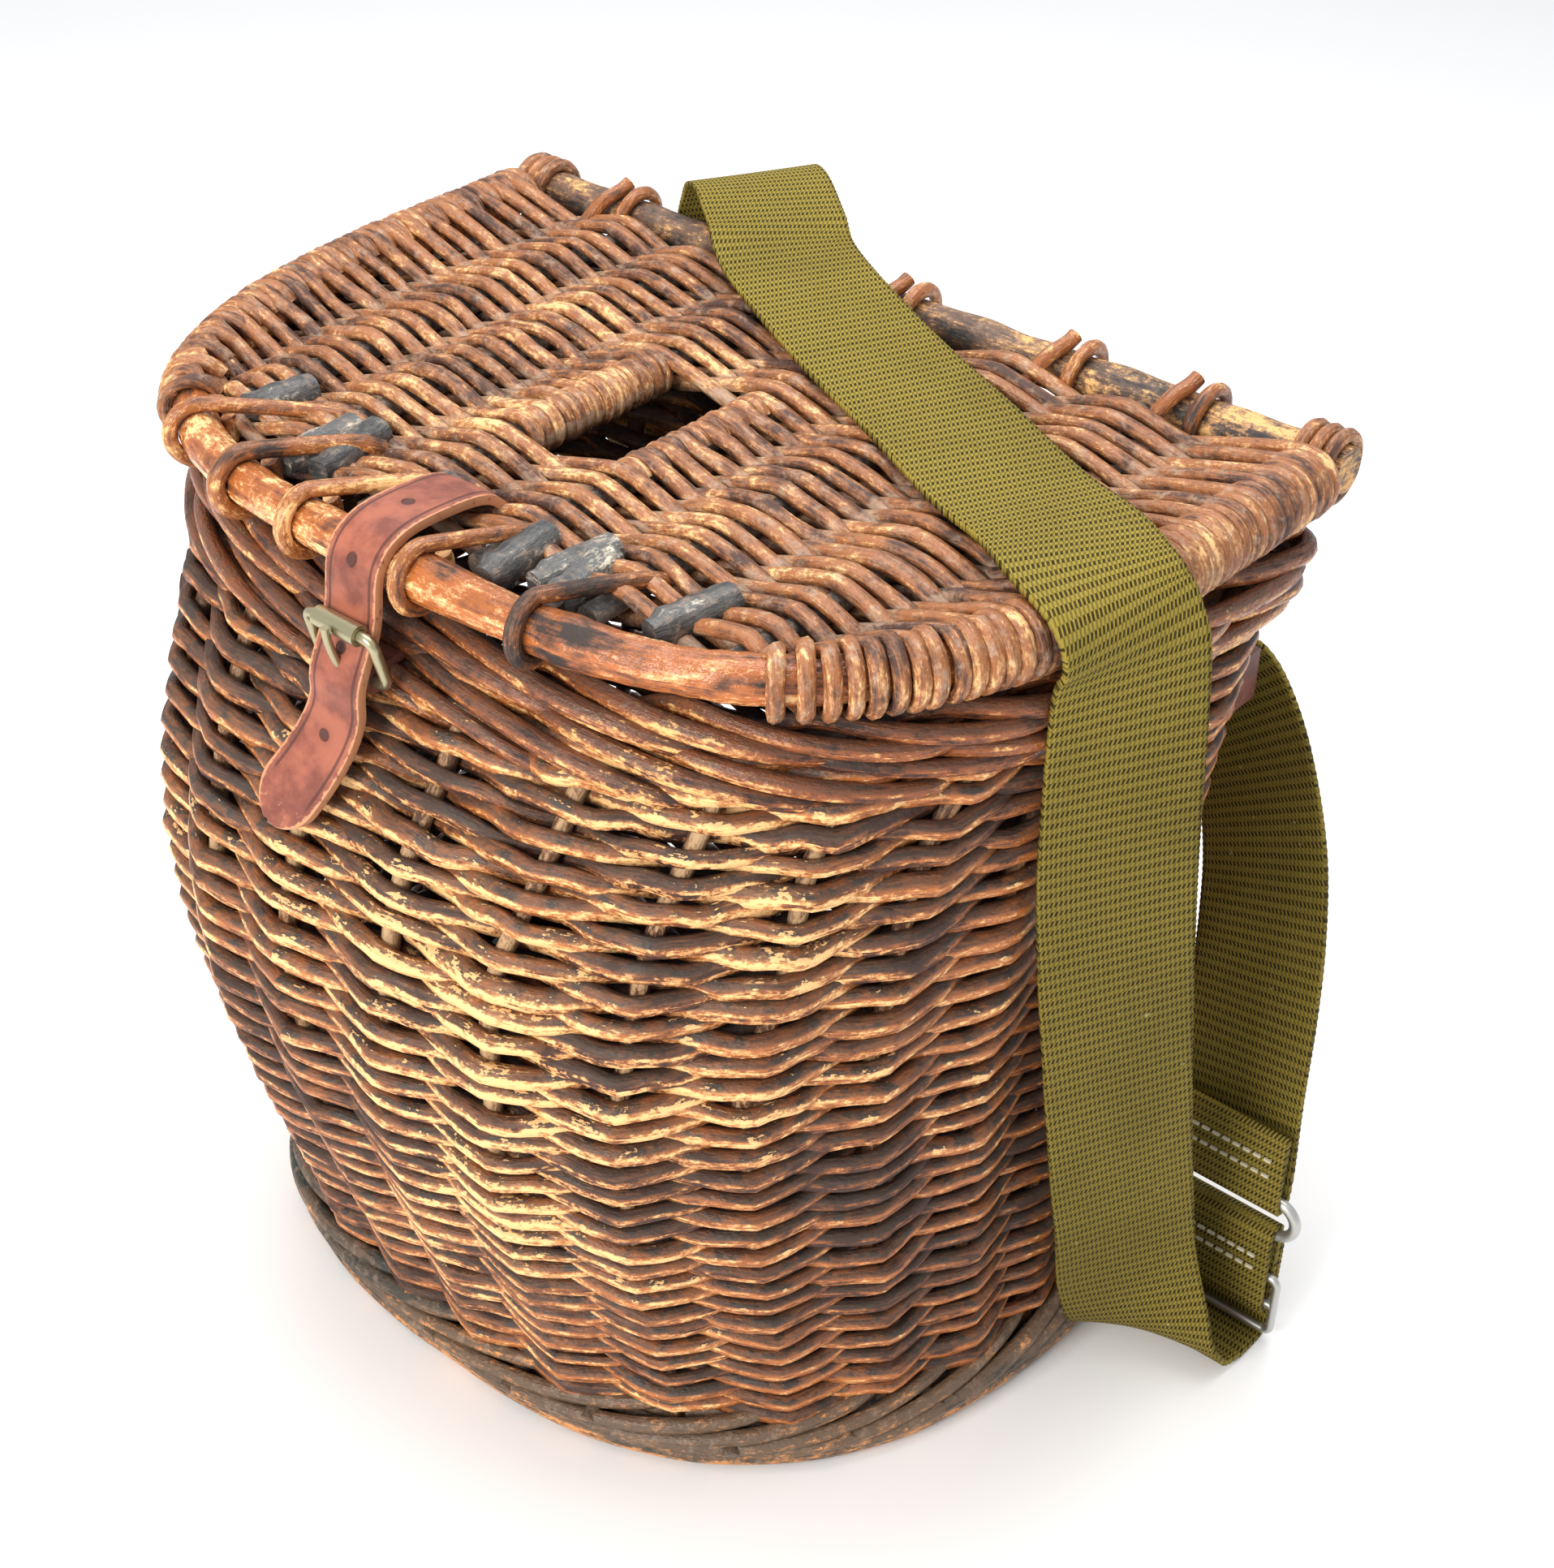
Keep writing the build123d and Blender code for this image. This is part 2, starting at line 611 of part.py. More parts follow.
def loop_bridge(x, spare):
    """Leather bridge on the back wall that a webbing hem folds round, its ends let into the weave."""
    length = LOOP_BRIDGE_LENGTH + 2 * spare
    thick = LOOP_BRIDGE_THICKNESS + 2 * spare
    height = LOOP_BRIDGE_HEIGHT + 2 * spare
    y = loop_bridge_y()
    span = Box(length, thick, height)
    leg_length = LOOP_BRIDGE_GAP + LOOP_BRIDGE_ROOT
    legs = Pos(0, -leg_length / 2, 0) * (
        Pos(-(length - thick) / 2, 0, 0) * Box(thick, leg_length, height)
        + Pos((length - thick) / 2, 0, 0) * Box(thick, leg_length, height)
    )
    return Pos(x, y, LOOP_BRIDGE_Z) * (span + legs)


def loop_bridge_roots():
    """Slots in the wall for the bridges' ends."""
    return [loop_bridge(x, SEAM) for x in (LOOP_BRIDGE_LEFT_X, LOOP_BRIDGE_RIGHT_X)]


def back_loops():
    """The two leather bridges."""
    put("back_loop_left", loop_bridge(LOOP_BRIDGE_LEFT_X, 0))
    put("back_loop_right", loop_bridge(LOOP_BRIDGE_RIGHT_X, 0))


def hem_radius():
    """Middle of the webbing's thickness where it folds round a leather bridge."""
    return LOOP_BRIDGE_THICKNESS / 2 + FREE + WEBBING / 2


def strap_long():
    """Webbing from the left back loop over the lid and down the right front to above the floor."""
    over_wrap = LID_Z + WRAP_RADIUS + FREE + WEBBING / 2
    over_weave = LID_Z + LID_WEAVE_THICKNESS / 2 + FREE + WEBBING / 2
    x, y = LOOP_BRIDGE_LEFT_X, loop_bridge_y()
    across = (1, 0, 0)
    foot = LOOP_BRIDGE_Z - LOOP_BRIDGE_HEIGHT / 2
    tail = [(Vector(x, y - hem_radius(), LOOP_BRIDGE_Z + LOOP_BRIDGE_HEIGHT / 2 + 3), Vector(*across))]
    hem = tail + turn((x, y, foot), hem_radius(), 180, 180, 6, across)
    outer = y + hem_radius()
    lead = (0.476, 0.88, 0)
    stations = [
        ((x, outer, LOOP_BRIDGE_Z + 8), across),
        ((x + 1, outer + 5, 228), across),
        ((-90, 133, 242), (0.97, 0.25, 0)),
        ((-88, 142, 255), (0.8, 0.6, 0)),
        ((-86, 146, 268), (0.58, 0.81, 0)),
        ((-83.5, 145.5, 280), (0.48, 0.88, 0)),
        ((-76, 140.5, 289.5), lead),
        ((-63, 131, 293), lead),
        ((-45, 116.5, 290), lead),
        ((-27, 102.5, over_weave + 3.5), lead),
        ((20, 77.3, over_weave + 0.3), lead),
        ((62, 57.1, over_weave), lead),
        ((98, 37.6, over_weave + 0.6), lead),
        ((122, 25, over_weave + 3.5), lead),
        ((138, 15.5, over_wrap + 0.9), (0.38, 0.92, 0)),
        ((149.5, 11.5, over_wrap - 2.2), (0.25, 0.97, 0)),
        ((154.8, 11.5, LID_Z), (0.22, 0.97, 0)),
        ((155.3, 13, 259), (0.36, 0.93, 0)),
        ((157.5, 14.5, 200), (0.58, 0.81, 0)),
        ((158, 24, 130), (0.63, 0.775, 0)),
        ((158, 36, 67), (0.65, 0.76, 0)),
    ]
    put("strap_long", ribbon(hem + blend_route(stations, 3), WEBBING_WIDTH, WEBBING))


def strap_bend():
    """The strap's lower end: down to the floor, under the slider's lower bar and up behind it."""
    floor = WEBBING / 2
    around = SLIDER_WIRE / 2 + FREE + WEBBING / 2
    stations = [
        ((158, 36.1, 66.5), (0.65, 0.76, 0)),
        ((158.6, 41, 40), (0.72, 0.68, -0.08)),
        ((161.5, 48, 17), (0.86, 0.5, -0.12)),
        ((163.3, 59, 5.2), (0.96, 0.25, -0.05)),
        ((RING_X, 70, floor + 0.6), (1, 0.04, 0)),
    ]
    bar = (RING_X, RING_Y, floor + around)
    run = blend_route(stations, 3)
    up = turn(bar, around, -90, 60, 3, (1, 0, 0))
    behind = RING_Y + RING_WIRE / 2 + FREE + WEBBING + FREE + WEBBING / 2
    tab_foot = SLIDER_Z + SLIDER_PITCH - SLIDER_WIRE / 2 - FREE - WEBBING
    tail = [(Vector(RING_X, behind, z), Vector(1, 0, 0)) for z in (tab_foot - FREE, RING_Z - RING_WIRE)]
    put("strap_bend", ribbon(run + up + tail, WEBBING_WIDTH, WEBBING))


def folded_band(bottom_bar, top_bar, bottom_wire, top_wire):
    """Closed webbing loop folded round two bars, seen along X."""
    low, high = bottom_wire / 2 + FREE, top_wire / 2 + FREE
    bar_low, bar_high = (RING_Y, bottom_bar), (RING_Y, top_bar)
    outer = hull_of_bars(bar_low, bar_high, low + WEBBING, high + WEBBING)
    inner = hull_of_bars(bar_low, bar_high, low, high)
    band = extrude(outer - inner, amount=WEBBING_WIDTH / 2, both=True)
    return Pos(RING_X, 0, 0) * band


def hull_of_bars(low, high, low_radius, high_radius):
    """Two circles in the YZ plane and the belt round them."""
    plane = Plane.YZ
    circles = Pos(*low) * Circle(low_radius) + Pos(*high) * Circle(high_radius)
    belt = Polygon(
        (low[0] - low_radius, low[1]),
        (low[0] + low_radius, low[1]),
        (high[0] + high_radius, high[1]),
        (high[0] - high_radius, high[1]),
        align=None,
    )
    return plane * (circles + belt)


def strap_tab():
    """Short doubled tab between the slider's middle bar and the ring's lower bar, with its stitching."""
    put("strap_tab", folded_band(SLIDER_Z + SLIDER_PITCH, RING_Z, SLIDER_WIRE, RING_WIRE))
    front = RING_Y - RING_WIRE / 2 - FREE - WEBBING
    put("tab_stitching", Compound(stitches(front, [RING_Z - row for row in STITCH_ROWS])))


def stitches(front, heights):
    """Rows of thread on the front face of a hem."""
    threads = []
    count = int((WEBBING_WIDTH - 2 * STITCH_PITCH) / STITCH_PITCH)
    for z in heights:
        for k in range(count):
            x = RING_X + (k - (count - 1) / 2) * STITCH_PITCH
            threads.append(solid_of(Pos(x, front - STITCH / 2, z) * Box(STITCH_LENGTH, STITCH, STITCH)))
    return threads


def strap_rear():
    """Webbing from the ring's upper bar, round the corner of the basket to the right back loop."""
    upper = RING_Z + RING_RISE
    around = RING_WIRE / 2 + FREE + WEBBING / 2
    across = (1, 0, 0)
    tail = [(Vector(RING_X, RING_Y - around, upper + HEM_TAIL), Vector(*across))]
    hem = turn((RING_X, RING_Y, upper), around, 180, 180, 6, across)
    x, y = LOOP_BRIDGE_RIGHT_X, loop_bridge_y()
    outer = y + hem_radius()
    top = LOOP_BRIDGE_Z + LOOP_BRIDGE_HEIGHT / 2
    stations = [
        ((RING_X, RING_Y + around, upper + 6), across),
        ((161.5, 88, 88), (1, 0, 0.1)),
        ((158, 95.5, 112), (0.98, 0, 0.2)),
        ((153.5, 103, 132), (0.95, 0, 0.3)),
        ((146, 112, 152), (0.9, 0, 0.44)),
        ((134, 121, 172), (0.8, 0, 0.6)),
        ((121, 125.5, 188), (0.86, 0, 0.5)),
        ((111, 124.5, 198), (0.96, 0, 0.25)),
        ((x, outer + 0.6, LOOP_BRIDGE_Z + 3), across),
    ]
    over = turn((x, y, top), hem_radius(), 0, 180, 6, across)
    inner = [(Vector(x, y - hem_radius(), LOOP_BRIDGE_Z - LOOP_BRIDGE_HEIGHT), Vector(*across))]
    route = tail + hem + blend_route(stations, 3) + over + inner
    put("strap_rear", ribbon(route, WEBBING_WIDTH, WEBBING))
    front = RING_Y - around - WEBBING / 2
    put("rear_stitching", Compound(stitches(front, [upper + row for row in REAR_STITCH_ROWS])))


def wire_ring():
    """Oval wire ring between the two hems."""
    plane = Plane(origin=(RING_X, RING_Y, RING_Z + RING_RISE / 2), x_dir=(1, 0, 0), z_dir=(0, -1, 0))
    half, rise_half = WEBBING_WIDTH / 2 - RING_TUCK, RING_RISE / 2
    loop = Wire([
        Line((-half, -rise_half), (half, -rise_half)),
        ThreePointArc((half, -rise_half), (half + rise_half, 0), (half, rise_half)),
        Line((half, rise_half), (-half, rise_half)),
        ThreePointArc((-half, rise_half), (-half - rise_half, 0), (-half, -rise_half)),
    ])
    path = plane * loop
    put("strap_ring", sweep(Plane(origin=path @ 0, z_dir=path % 0) * Circle(RING_WIRE / 2), path=path))


def wire_slider():
    """Three-bar wire slider with an eye where its wire ends meet."""
    half = WEBBING_WIDTH / 2 + SLIDER_SPARE + SLIDER_WIRE / 2
    rise_half = SLIDER_PITCH
    plane = Plane(origin=(RING_X, RING_Y, SLIDER_Z + SLIDER_PITCH), x_dir=(1, 0, 0), z_dir=(0, -1, 0))
    corners = [(-half, -rise_half), (half, -rise_half), (half, rise_half), (-half, rise_half)]
    frame = wire_loop(plane, corners, SLIDER_WIRE, SLIDER_WIRE)
    bar = Pos(RING_X, RING_Y, SLIDER_Z + SLIDER_PITCH) * Rot(0, 90, 0) * Cylinder(SLIDER_WIRE / 2, 2 * half)
    put("strap_slider", frame + bar)


def corner_lashings():
    """Withy turns that bind the bow's ends to the back rod."""
    radius = BACK_ROD / 2 + SEAM + ROD / 2
    for side, sign in (("left", -1), ("right", 1)):
        turns = []
        for k in range(3):
            x = sign * (LID_WIDTH / 2 - ROD - ROD / 2 - 1 - k * (ROD + SEAM))
            turns.append(solid_of(Pos(x, HINGE_Y, HINGE_Z) * Rot(0, 90, 0) * Torus(radius, ROD / 2)))
        put(f"corner_lashing_{side}", Compound(turns))


def main():
    """Build every sub-part and write it."""
    basket()
    lid()
    corner_lashings()
    closing_strap()
    buckle()
    chape()
    back_loops()
    strap_long()
    strap_bend()
    strap_tab()
    strap_rear()
    wire_ring()
    wire_slider()
    os.makedirs("parts", exist_ok=True)
    for name, shape in PARTS.items():
        export_step(shape, os.path.join("parts", f"{name}.step"))
        print(name, len(shape.solids()), round(shape.volume))


if __name__ == "__main__":
    main()
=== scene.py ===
"""Looks of the wicker fishing creel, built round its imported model.

Metres. The creel stands on Z = 0 with its bellied front facing -Y and its hinge at the back. Every willow rod is a tube
carried along a worked-out path, so the wall, the borders, the base and the lid are really woven.
"""
from __future__ import annotations

import logging
import math
from dataclasses import dataclass, field
from enum import Enum
from typing import Any, Sequence

import bpy
import numpy as np
from mathutils import Matrix

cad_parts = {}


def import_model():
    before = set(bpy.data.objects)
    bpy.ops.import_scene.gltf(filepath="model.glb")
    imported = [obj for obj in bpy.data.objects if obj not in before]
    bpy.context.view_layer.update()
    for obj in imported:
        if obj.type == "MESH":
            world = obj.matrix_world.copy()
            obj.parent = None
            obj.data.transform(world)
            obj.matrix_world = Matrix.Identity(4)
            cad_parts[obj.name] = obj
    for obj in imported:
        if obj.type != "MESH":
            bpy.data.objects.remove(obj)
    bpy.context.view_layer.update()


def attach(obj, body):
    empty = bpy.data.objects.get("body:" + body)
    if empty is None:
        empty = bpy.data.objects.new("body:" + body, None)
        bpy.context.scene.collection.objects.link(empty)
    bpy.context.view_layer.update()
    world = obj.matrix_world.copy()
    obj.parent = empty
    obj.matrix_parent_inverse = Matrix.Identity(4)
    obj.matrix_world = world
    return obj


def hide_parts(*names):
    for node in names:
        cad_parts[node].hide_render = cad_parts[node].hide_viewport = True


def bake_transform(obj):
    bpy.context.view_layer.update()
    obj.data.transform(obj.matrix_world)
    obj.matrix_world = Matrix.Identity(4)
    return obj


Array = np.ndarray
Colour = tuple[float, float, float]
MM = 0.001
MARKS = ("tone", "proud", "scuff", "upper")
UP = np.array([0, 0, 1.0])
ALONG_X = np.array([1.0, 0, 0])
ALONG_Y = np.array([0, 1.0, 0])
LOG = logging.getLogger("creel")


# ---------------------------------------------------------------------------------------------------------------- maths


def smooth_step(low: float, high: float, value: Array) -> Array:
    """0 below low, 1 above high and the cubic 3t^2 - 2t^3 between.

    Args:
        low: where the step starts.
        high: where it ends.
        value: numbers to shape.

    Returns:
        The shaped numbers.
    """
    t = np.clip((value - low) / (high - low), 0.0, 1.0)
    return t * t * (3 - 2 * t)


def unit(vectors: Array) -> Array:
    """Vectors scaled to length 1 along their last axis."""
    return vectors / np.maximum(np.linalg.norm(vectors, axis=-1, keepdims=True), 1e-12)


def points_at(*parts: Any) -> Array:
    """Rows of coordinates from numbers and arrays that are spread to one shape."""
    return np.stack(np.broadcast_arrays(*parts), -1)


def arc(middle: Array, reach: float, out: Array, angle: Array) -> Array:
    """Points of a circle that stands upright: middle + reach * (cos * out + sin * up).

    Args:
        middle: the circle's middle.
        reach: its radius.
        out: the level direction of angle 0.
        angle: angles of the points.

    Returns:
        One point for each angle.
    """
    return middle + reach * (np.cos(angle)[:, None] * out + np.sin(angle)[:, None] * UP)


def slow_noise(count: int, waves: int, rng: np.random.Generator, closed: bool = False) -> Array:
    """Smooth random numbers along a line: a sum of sines of falling strength with random phases.

    Args:
        count: how many samples.
        waves: the highest number of waves along the line.
        rng: seeded random source.
        closed: whether the last sample runs on into the first.

    Returns:
        count numbers, mostly between -1 and 1.
    """
    t = np.arange(count) / (count if closed else max(count - 1, 1))
    turns = np.arange(1, waves + 1)
    phase = rng.uniform(0, 2 * np.pi, waves)
    strength = rng.normal(0, 1, waves) / np.sqrt(waves)
    return (strength[:, None] * np.sin(2 * np.pi * turns[:, None] * t + phase[:, None])).sum(0)


def curve_through(stations: Array, steps: int) -> Array:
    """Catmull-Rom curve through given stations, sampled evenly in each span.

    A point between stations b and c, at share t, is the cubic with ends b and c and end slopes (c - a) / 2 and
    (d - b) / 2, where a and d are their outer neighbours.

    Args:
        stations: rows of numbers to pass through.
        steps: samples in each span.

    Returns:
        Rows of the curve, from the first station to the last.
    """
    stations = np.asarray(stations, float)
    a = np.vstack([2 * stations[:1] - stations[1:2], stations[:-2]])
    b, c = stations[:-1], stations[1:]
    d = np.vstack([stations[2:], 2 * stations[-1:] - stations[-2:-1]])
    t = (np.arange(steps) / steps)[None, :, None]
    b, c = b[:, None], c[:, None]
    slope_b, slope_c = (c - a[:, None]) / 2, (d[:, None] - b) / 2
    span = (
        b * (2 * t**3 - 3 * t**2 + 1)
        + slope_b * (t**3 - 2 * t**2 + t)
        + c * (3 * t**2 - 2 * t**3)
        + slope_c * (t**3 - t**2)
    )
    return np.vstack([span.reshape(-1, stations.shape[1]), stations[-1:]])


def run_length(path: Array) -> Array:
    """Distance walked along a path at each of its points."""
    return np.concatenate([[0.0], np.cumsum(np.linalg.norm(np.diff(path, axis=0), axis=1))])


# ------------------------------------------------------------------------------------------------------------- meshes


@dataclass
class Bundle:
    """Tubes and sheets that become one mesh, with their own UV map and per-point marks.

    tone is one random number per rod, proud is 1 where a rod stands out furthest and 0 in the recesses, scuff is how
    much the rod is worn, and upper is 1 on its top and 0 on its underside.
    """

    name: str
    points: list[Array] = field(default_factory=list)
    faces: list[Array] = field(default_factory=list)
    corners: list[Array] = field(default_factory=list)
    marks: dict[str, list[Array]] = field(default_factory=lambda: {name: [] for name in MARKS})
    count: int = 0
    cut_scuff: float = 0.3  # wear of a cut end as a share of the rod's

    def _keep(self, points: Array, faces: Array, corners: Array, marks: dict[str, Any]) -> None:
        """Adds points, faces of one size with their UV corners, and the marks of the points."""
        self.points.append(points)
        self.faces.append(faces + self.count)
        self.corners.append(corners)
        self.count += len(points)
        for name, kept in self.marks.items():
            kept.append(np.broadcast_to(np.asarray(marks.get(name, 0.5), float), len(points)).ravel())

    def tube(
        self,
        path: Array,
        radius: float | Array,
        across: Array,
        sides: int = 8,
        closed: bool = False,
        flat: float = 1.0,
        square: float = 1.0,
        **marks: Any,
    ) -> None:
        """Carries a circle along a path: point + radius * (cos * side + sin * flat * across) round each path point.

        Args:
            path: points of the middle line.
            radius: one radius, or one for each point.
            across: a direction, or one per point, that the path never follows.
            sides: points round the tube.
            closed: whether the path's end joins its start.
            flat: thickness along `across` as a share of the width.
            square: power of the cosine and sine, below 1 for a squarer rod.
            marks: tone, proud and scuff, one number or one per path point or per point of the tube.
        """
        n = len(path)
        ahead = np.roll(path, -1, 0) - np.roll(path, 1, 0)
        if not closed:
            ahead[0], ahead[-1] = path[1] - path[0], path[-1] - path[-2]
        ahead = unit(ahead)
        side = unit(np.cross(np.broadcast_to(across, path.shape), ahead))
        rise = np.cross(ahead, side)
        turn = 2 * np.pi * np.arange(sides) / sides
        reach = np.broadcast_to(np.asarray(radius, float), n)[:, None, None]
        wide, high = (np.sign(w) * np.abs(w) ** square for w in (np.cos(turn), np.sin(turn)))
        ring = wide[None, :, None] * side[:, None] + flat * high[None, :, None] * rise[:, None]
        points = (path[:, None] + reach * ring).reshape(-1, 3)
        rows = n if closed else n - 1
        i, j = np.meshgrid(np.arange(rows), np.arange(sides), indexing="ij")
        i2, j2 = (i + 1) % n, (j + 1) % sides
        quads = np.stack([i * sides + j, i * sides + j2, i2 * sides + j2, i2 * sides + j], -1).reshape(-1, 4)
        length = run_length(np.vstack([path, path[:1]]) if closed else path)
        girth = 2 * np.pi * float(np.mean(radius))
        along, along2 = length[i], length[i + 1]
        round1, round2 = girth * j / sides, girth * (j + 1) / sides
        spots = ((along, round1), (along, round2), (along2, round2), (along2, round1))
        corners = np.stack([points_at(*spot) for spot in spots], axis=-2).reshape(-1, 4, 2)
        full = {"upper": np.clip(ring[..., 2].ravel() * 0.5 + 0.5, 0, 1)}
        for name, value in marks.items():
            value = np.asarray(value, float)
            full[name] = np.repeat(value, sides) if value.shape == (n,) else value.ravel()
            if full[name].size == 1:
                full[name] = np.full(n * sides, float(full[name][0]))
        self._keep(points, quads, corners, full)
        if not closed:
            self._caps(points, sides, n, girth, full)

    def mark_last(self, proud: Array, scuff: Array, closed: bool = False) -> None:
        """Sets the marks of the tube added last, points along by points round, and of its two cut ends."""
        last = 1 if closed else 3
        for name, value, share in (("proud", proud, 1.0), ("scuff", scuff, self.cut_scuff)):
            kept = self.marks[name]
            kept[-last] = value.ravel()
            if not closed:
                kept[-2], kept[-1] = value[0] * share, value[-1] * share

    def _caps(self, points: Array, sides: int, n: int, girth: float, marks: dict[str, Array]) -> None:
        """Closes both ends of a tube with a flat cut."""
        for first, order in ((0, np.arange(sides)[::-1]), ((n - 1) * sides, np.arange(sides))):
            ring = points[first : first + sides]
            turn = 2 * np.pi * np.arange(sides) / sides
            spot = girth * points_at(np.cos(turn), np.sin(turn)) / 6
            ends = {name: value[first : first + sides] for name, value in marks.items()}
            self._keep(ring, order[None, :], spot[order][None], ends)

    def sheet(self, grid: Array, spots: Array) -> None:
        """Adds a grid of points as quads.

        Args:
            grid: points, rows by columns by 3.
            spots: their UV places, rows by columns by 2.
        """
        rows, columns = grid.shape[:2]
        i, j = np.meshgrid(np.arange(rows - 1), np.arange(columns - 1), indexing="ij")
        first = i * columns + j
        quads = np.stack([first, first + 1, first + columns + 1, first + columns], -1).reshape(-1, 4)
        self._keep(grid.reshape(-1, 3), quads, spots.reshape(-1, 2)[quads], {})

    def make(self) -> bpy.types.Object:
        """Writes the mesh, its UV map and its marks, and returns the object."""
        mesh = bpy.data.meshes.new(self.name)
        points = np.concatenate(self.points)
        loops = np.concatenate([face.ravel() for face in self.faces])
        sizes = np.concatenate([np.full(len(face), face.shape[1]) for face in self.faces])
        starts = np.concatenate([[0], np.cumsum(sizes)[:-1]])
        mesh.vertices.add(len(points))
        mesh.vertices.foreach_set("co", points.astype(np.float32).ravel())
        mesh.loops.add(len(loops))
        mesh.loops.foreach_set("vertex_index", loops.astype(np.int32))
        mesh.polygons.add(len(starts))
        mesh.polygons.foreach_set("loop_start", starts.astype(np.int32))
        mesh.polygons.foreach_set("use_smooth", np.ones(len(starts), bool))
        mesh.update(calc_edges=True)
        spots = mesh.uv_layers.new(name="UVMap")
        corners = np.concatenate([corner.reshape(-1, 2) for corner in self.corners])
        spots.data.foreach_set("uv", corners.astype(np.float32).ravel())
        for name, kept in self.marks.items():
            mark = mesh.attributes.new(name, "FLOAT", "POINT")
            mark.data.foreach_set("value", np.concatenate(kept).astype(np.float32))
        mesh.validate()
        piece = bpy.data.objects.new(self.name, mesh)
        bpy.context.collection.objects.link(piece)
        return piece


def settle(piece: bpy.types.Object, body: str, replaces: Sequence[str] = ()) -> None:
    """Rides a piece on its body and lets it stand for model nodes."""
    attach(piece, body)
    stand_for(piece, replaces)


def stand_for(piece: bpy.types.Object, replaces: Sequence[str] = ()) -> None:
    """Hides the model nodes that a piece stands for, and reports it."""
    if replaces:
        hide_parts(*replaces)
    LOG.info("%s: %d faces", piece.name, len(piece.data.polygons))


# ------------------------------------------------------------------------------------------------------------ shading


class Signal:
    """A number in a shader that takes part in Python arithmetic by adding Math nodes."""

    def __init__(self, graph: "Graph", socket: bpy.types.NodeSocket) -> None:
        """Keeps the node graph and the socket that holds the number."""
        self.graph = graph
        self.socket = socket

    def __add__(self, other: Any) -> "Signal":
        """Sum."""
        return self.graph.math("ADD", self, other)

    def __mul__(self, other: Any) -> "Signal":
        """Product."""
        return self.graph.math("MULTIPLY", self, other)

    def __sub__(self, other: Any) -> "Signal":
        """Difference."""
        return self.graph.math("SUBTRACT", self, other)

    def __rsub__(self, other: Any) -> "Signal":
        """Difference from a number."""
        return self.graph.math("SUBTRACT", other, self)

    __radd__, __rmul__ = __add__, __mul__

    def limit(self) -> "Signal":
        """Kept between 0 and 1."""
        return self.graph.math("ADD", self, 0.0, clamp=True)

    def ramp(self, low: float, high: float) -> "Signal":
        """0 below low and 1 above high, smoothly."""
        settings = {"interpolation_type": "SMOOTHSTEP"}
        return self.graph.number("ShaderNodeMapRange", settings, {"Value": self, "From Min": low, "From Max": high})


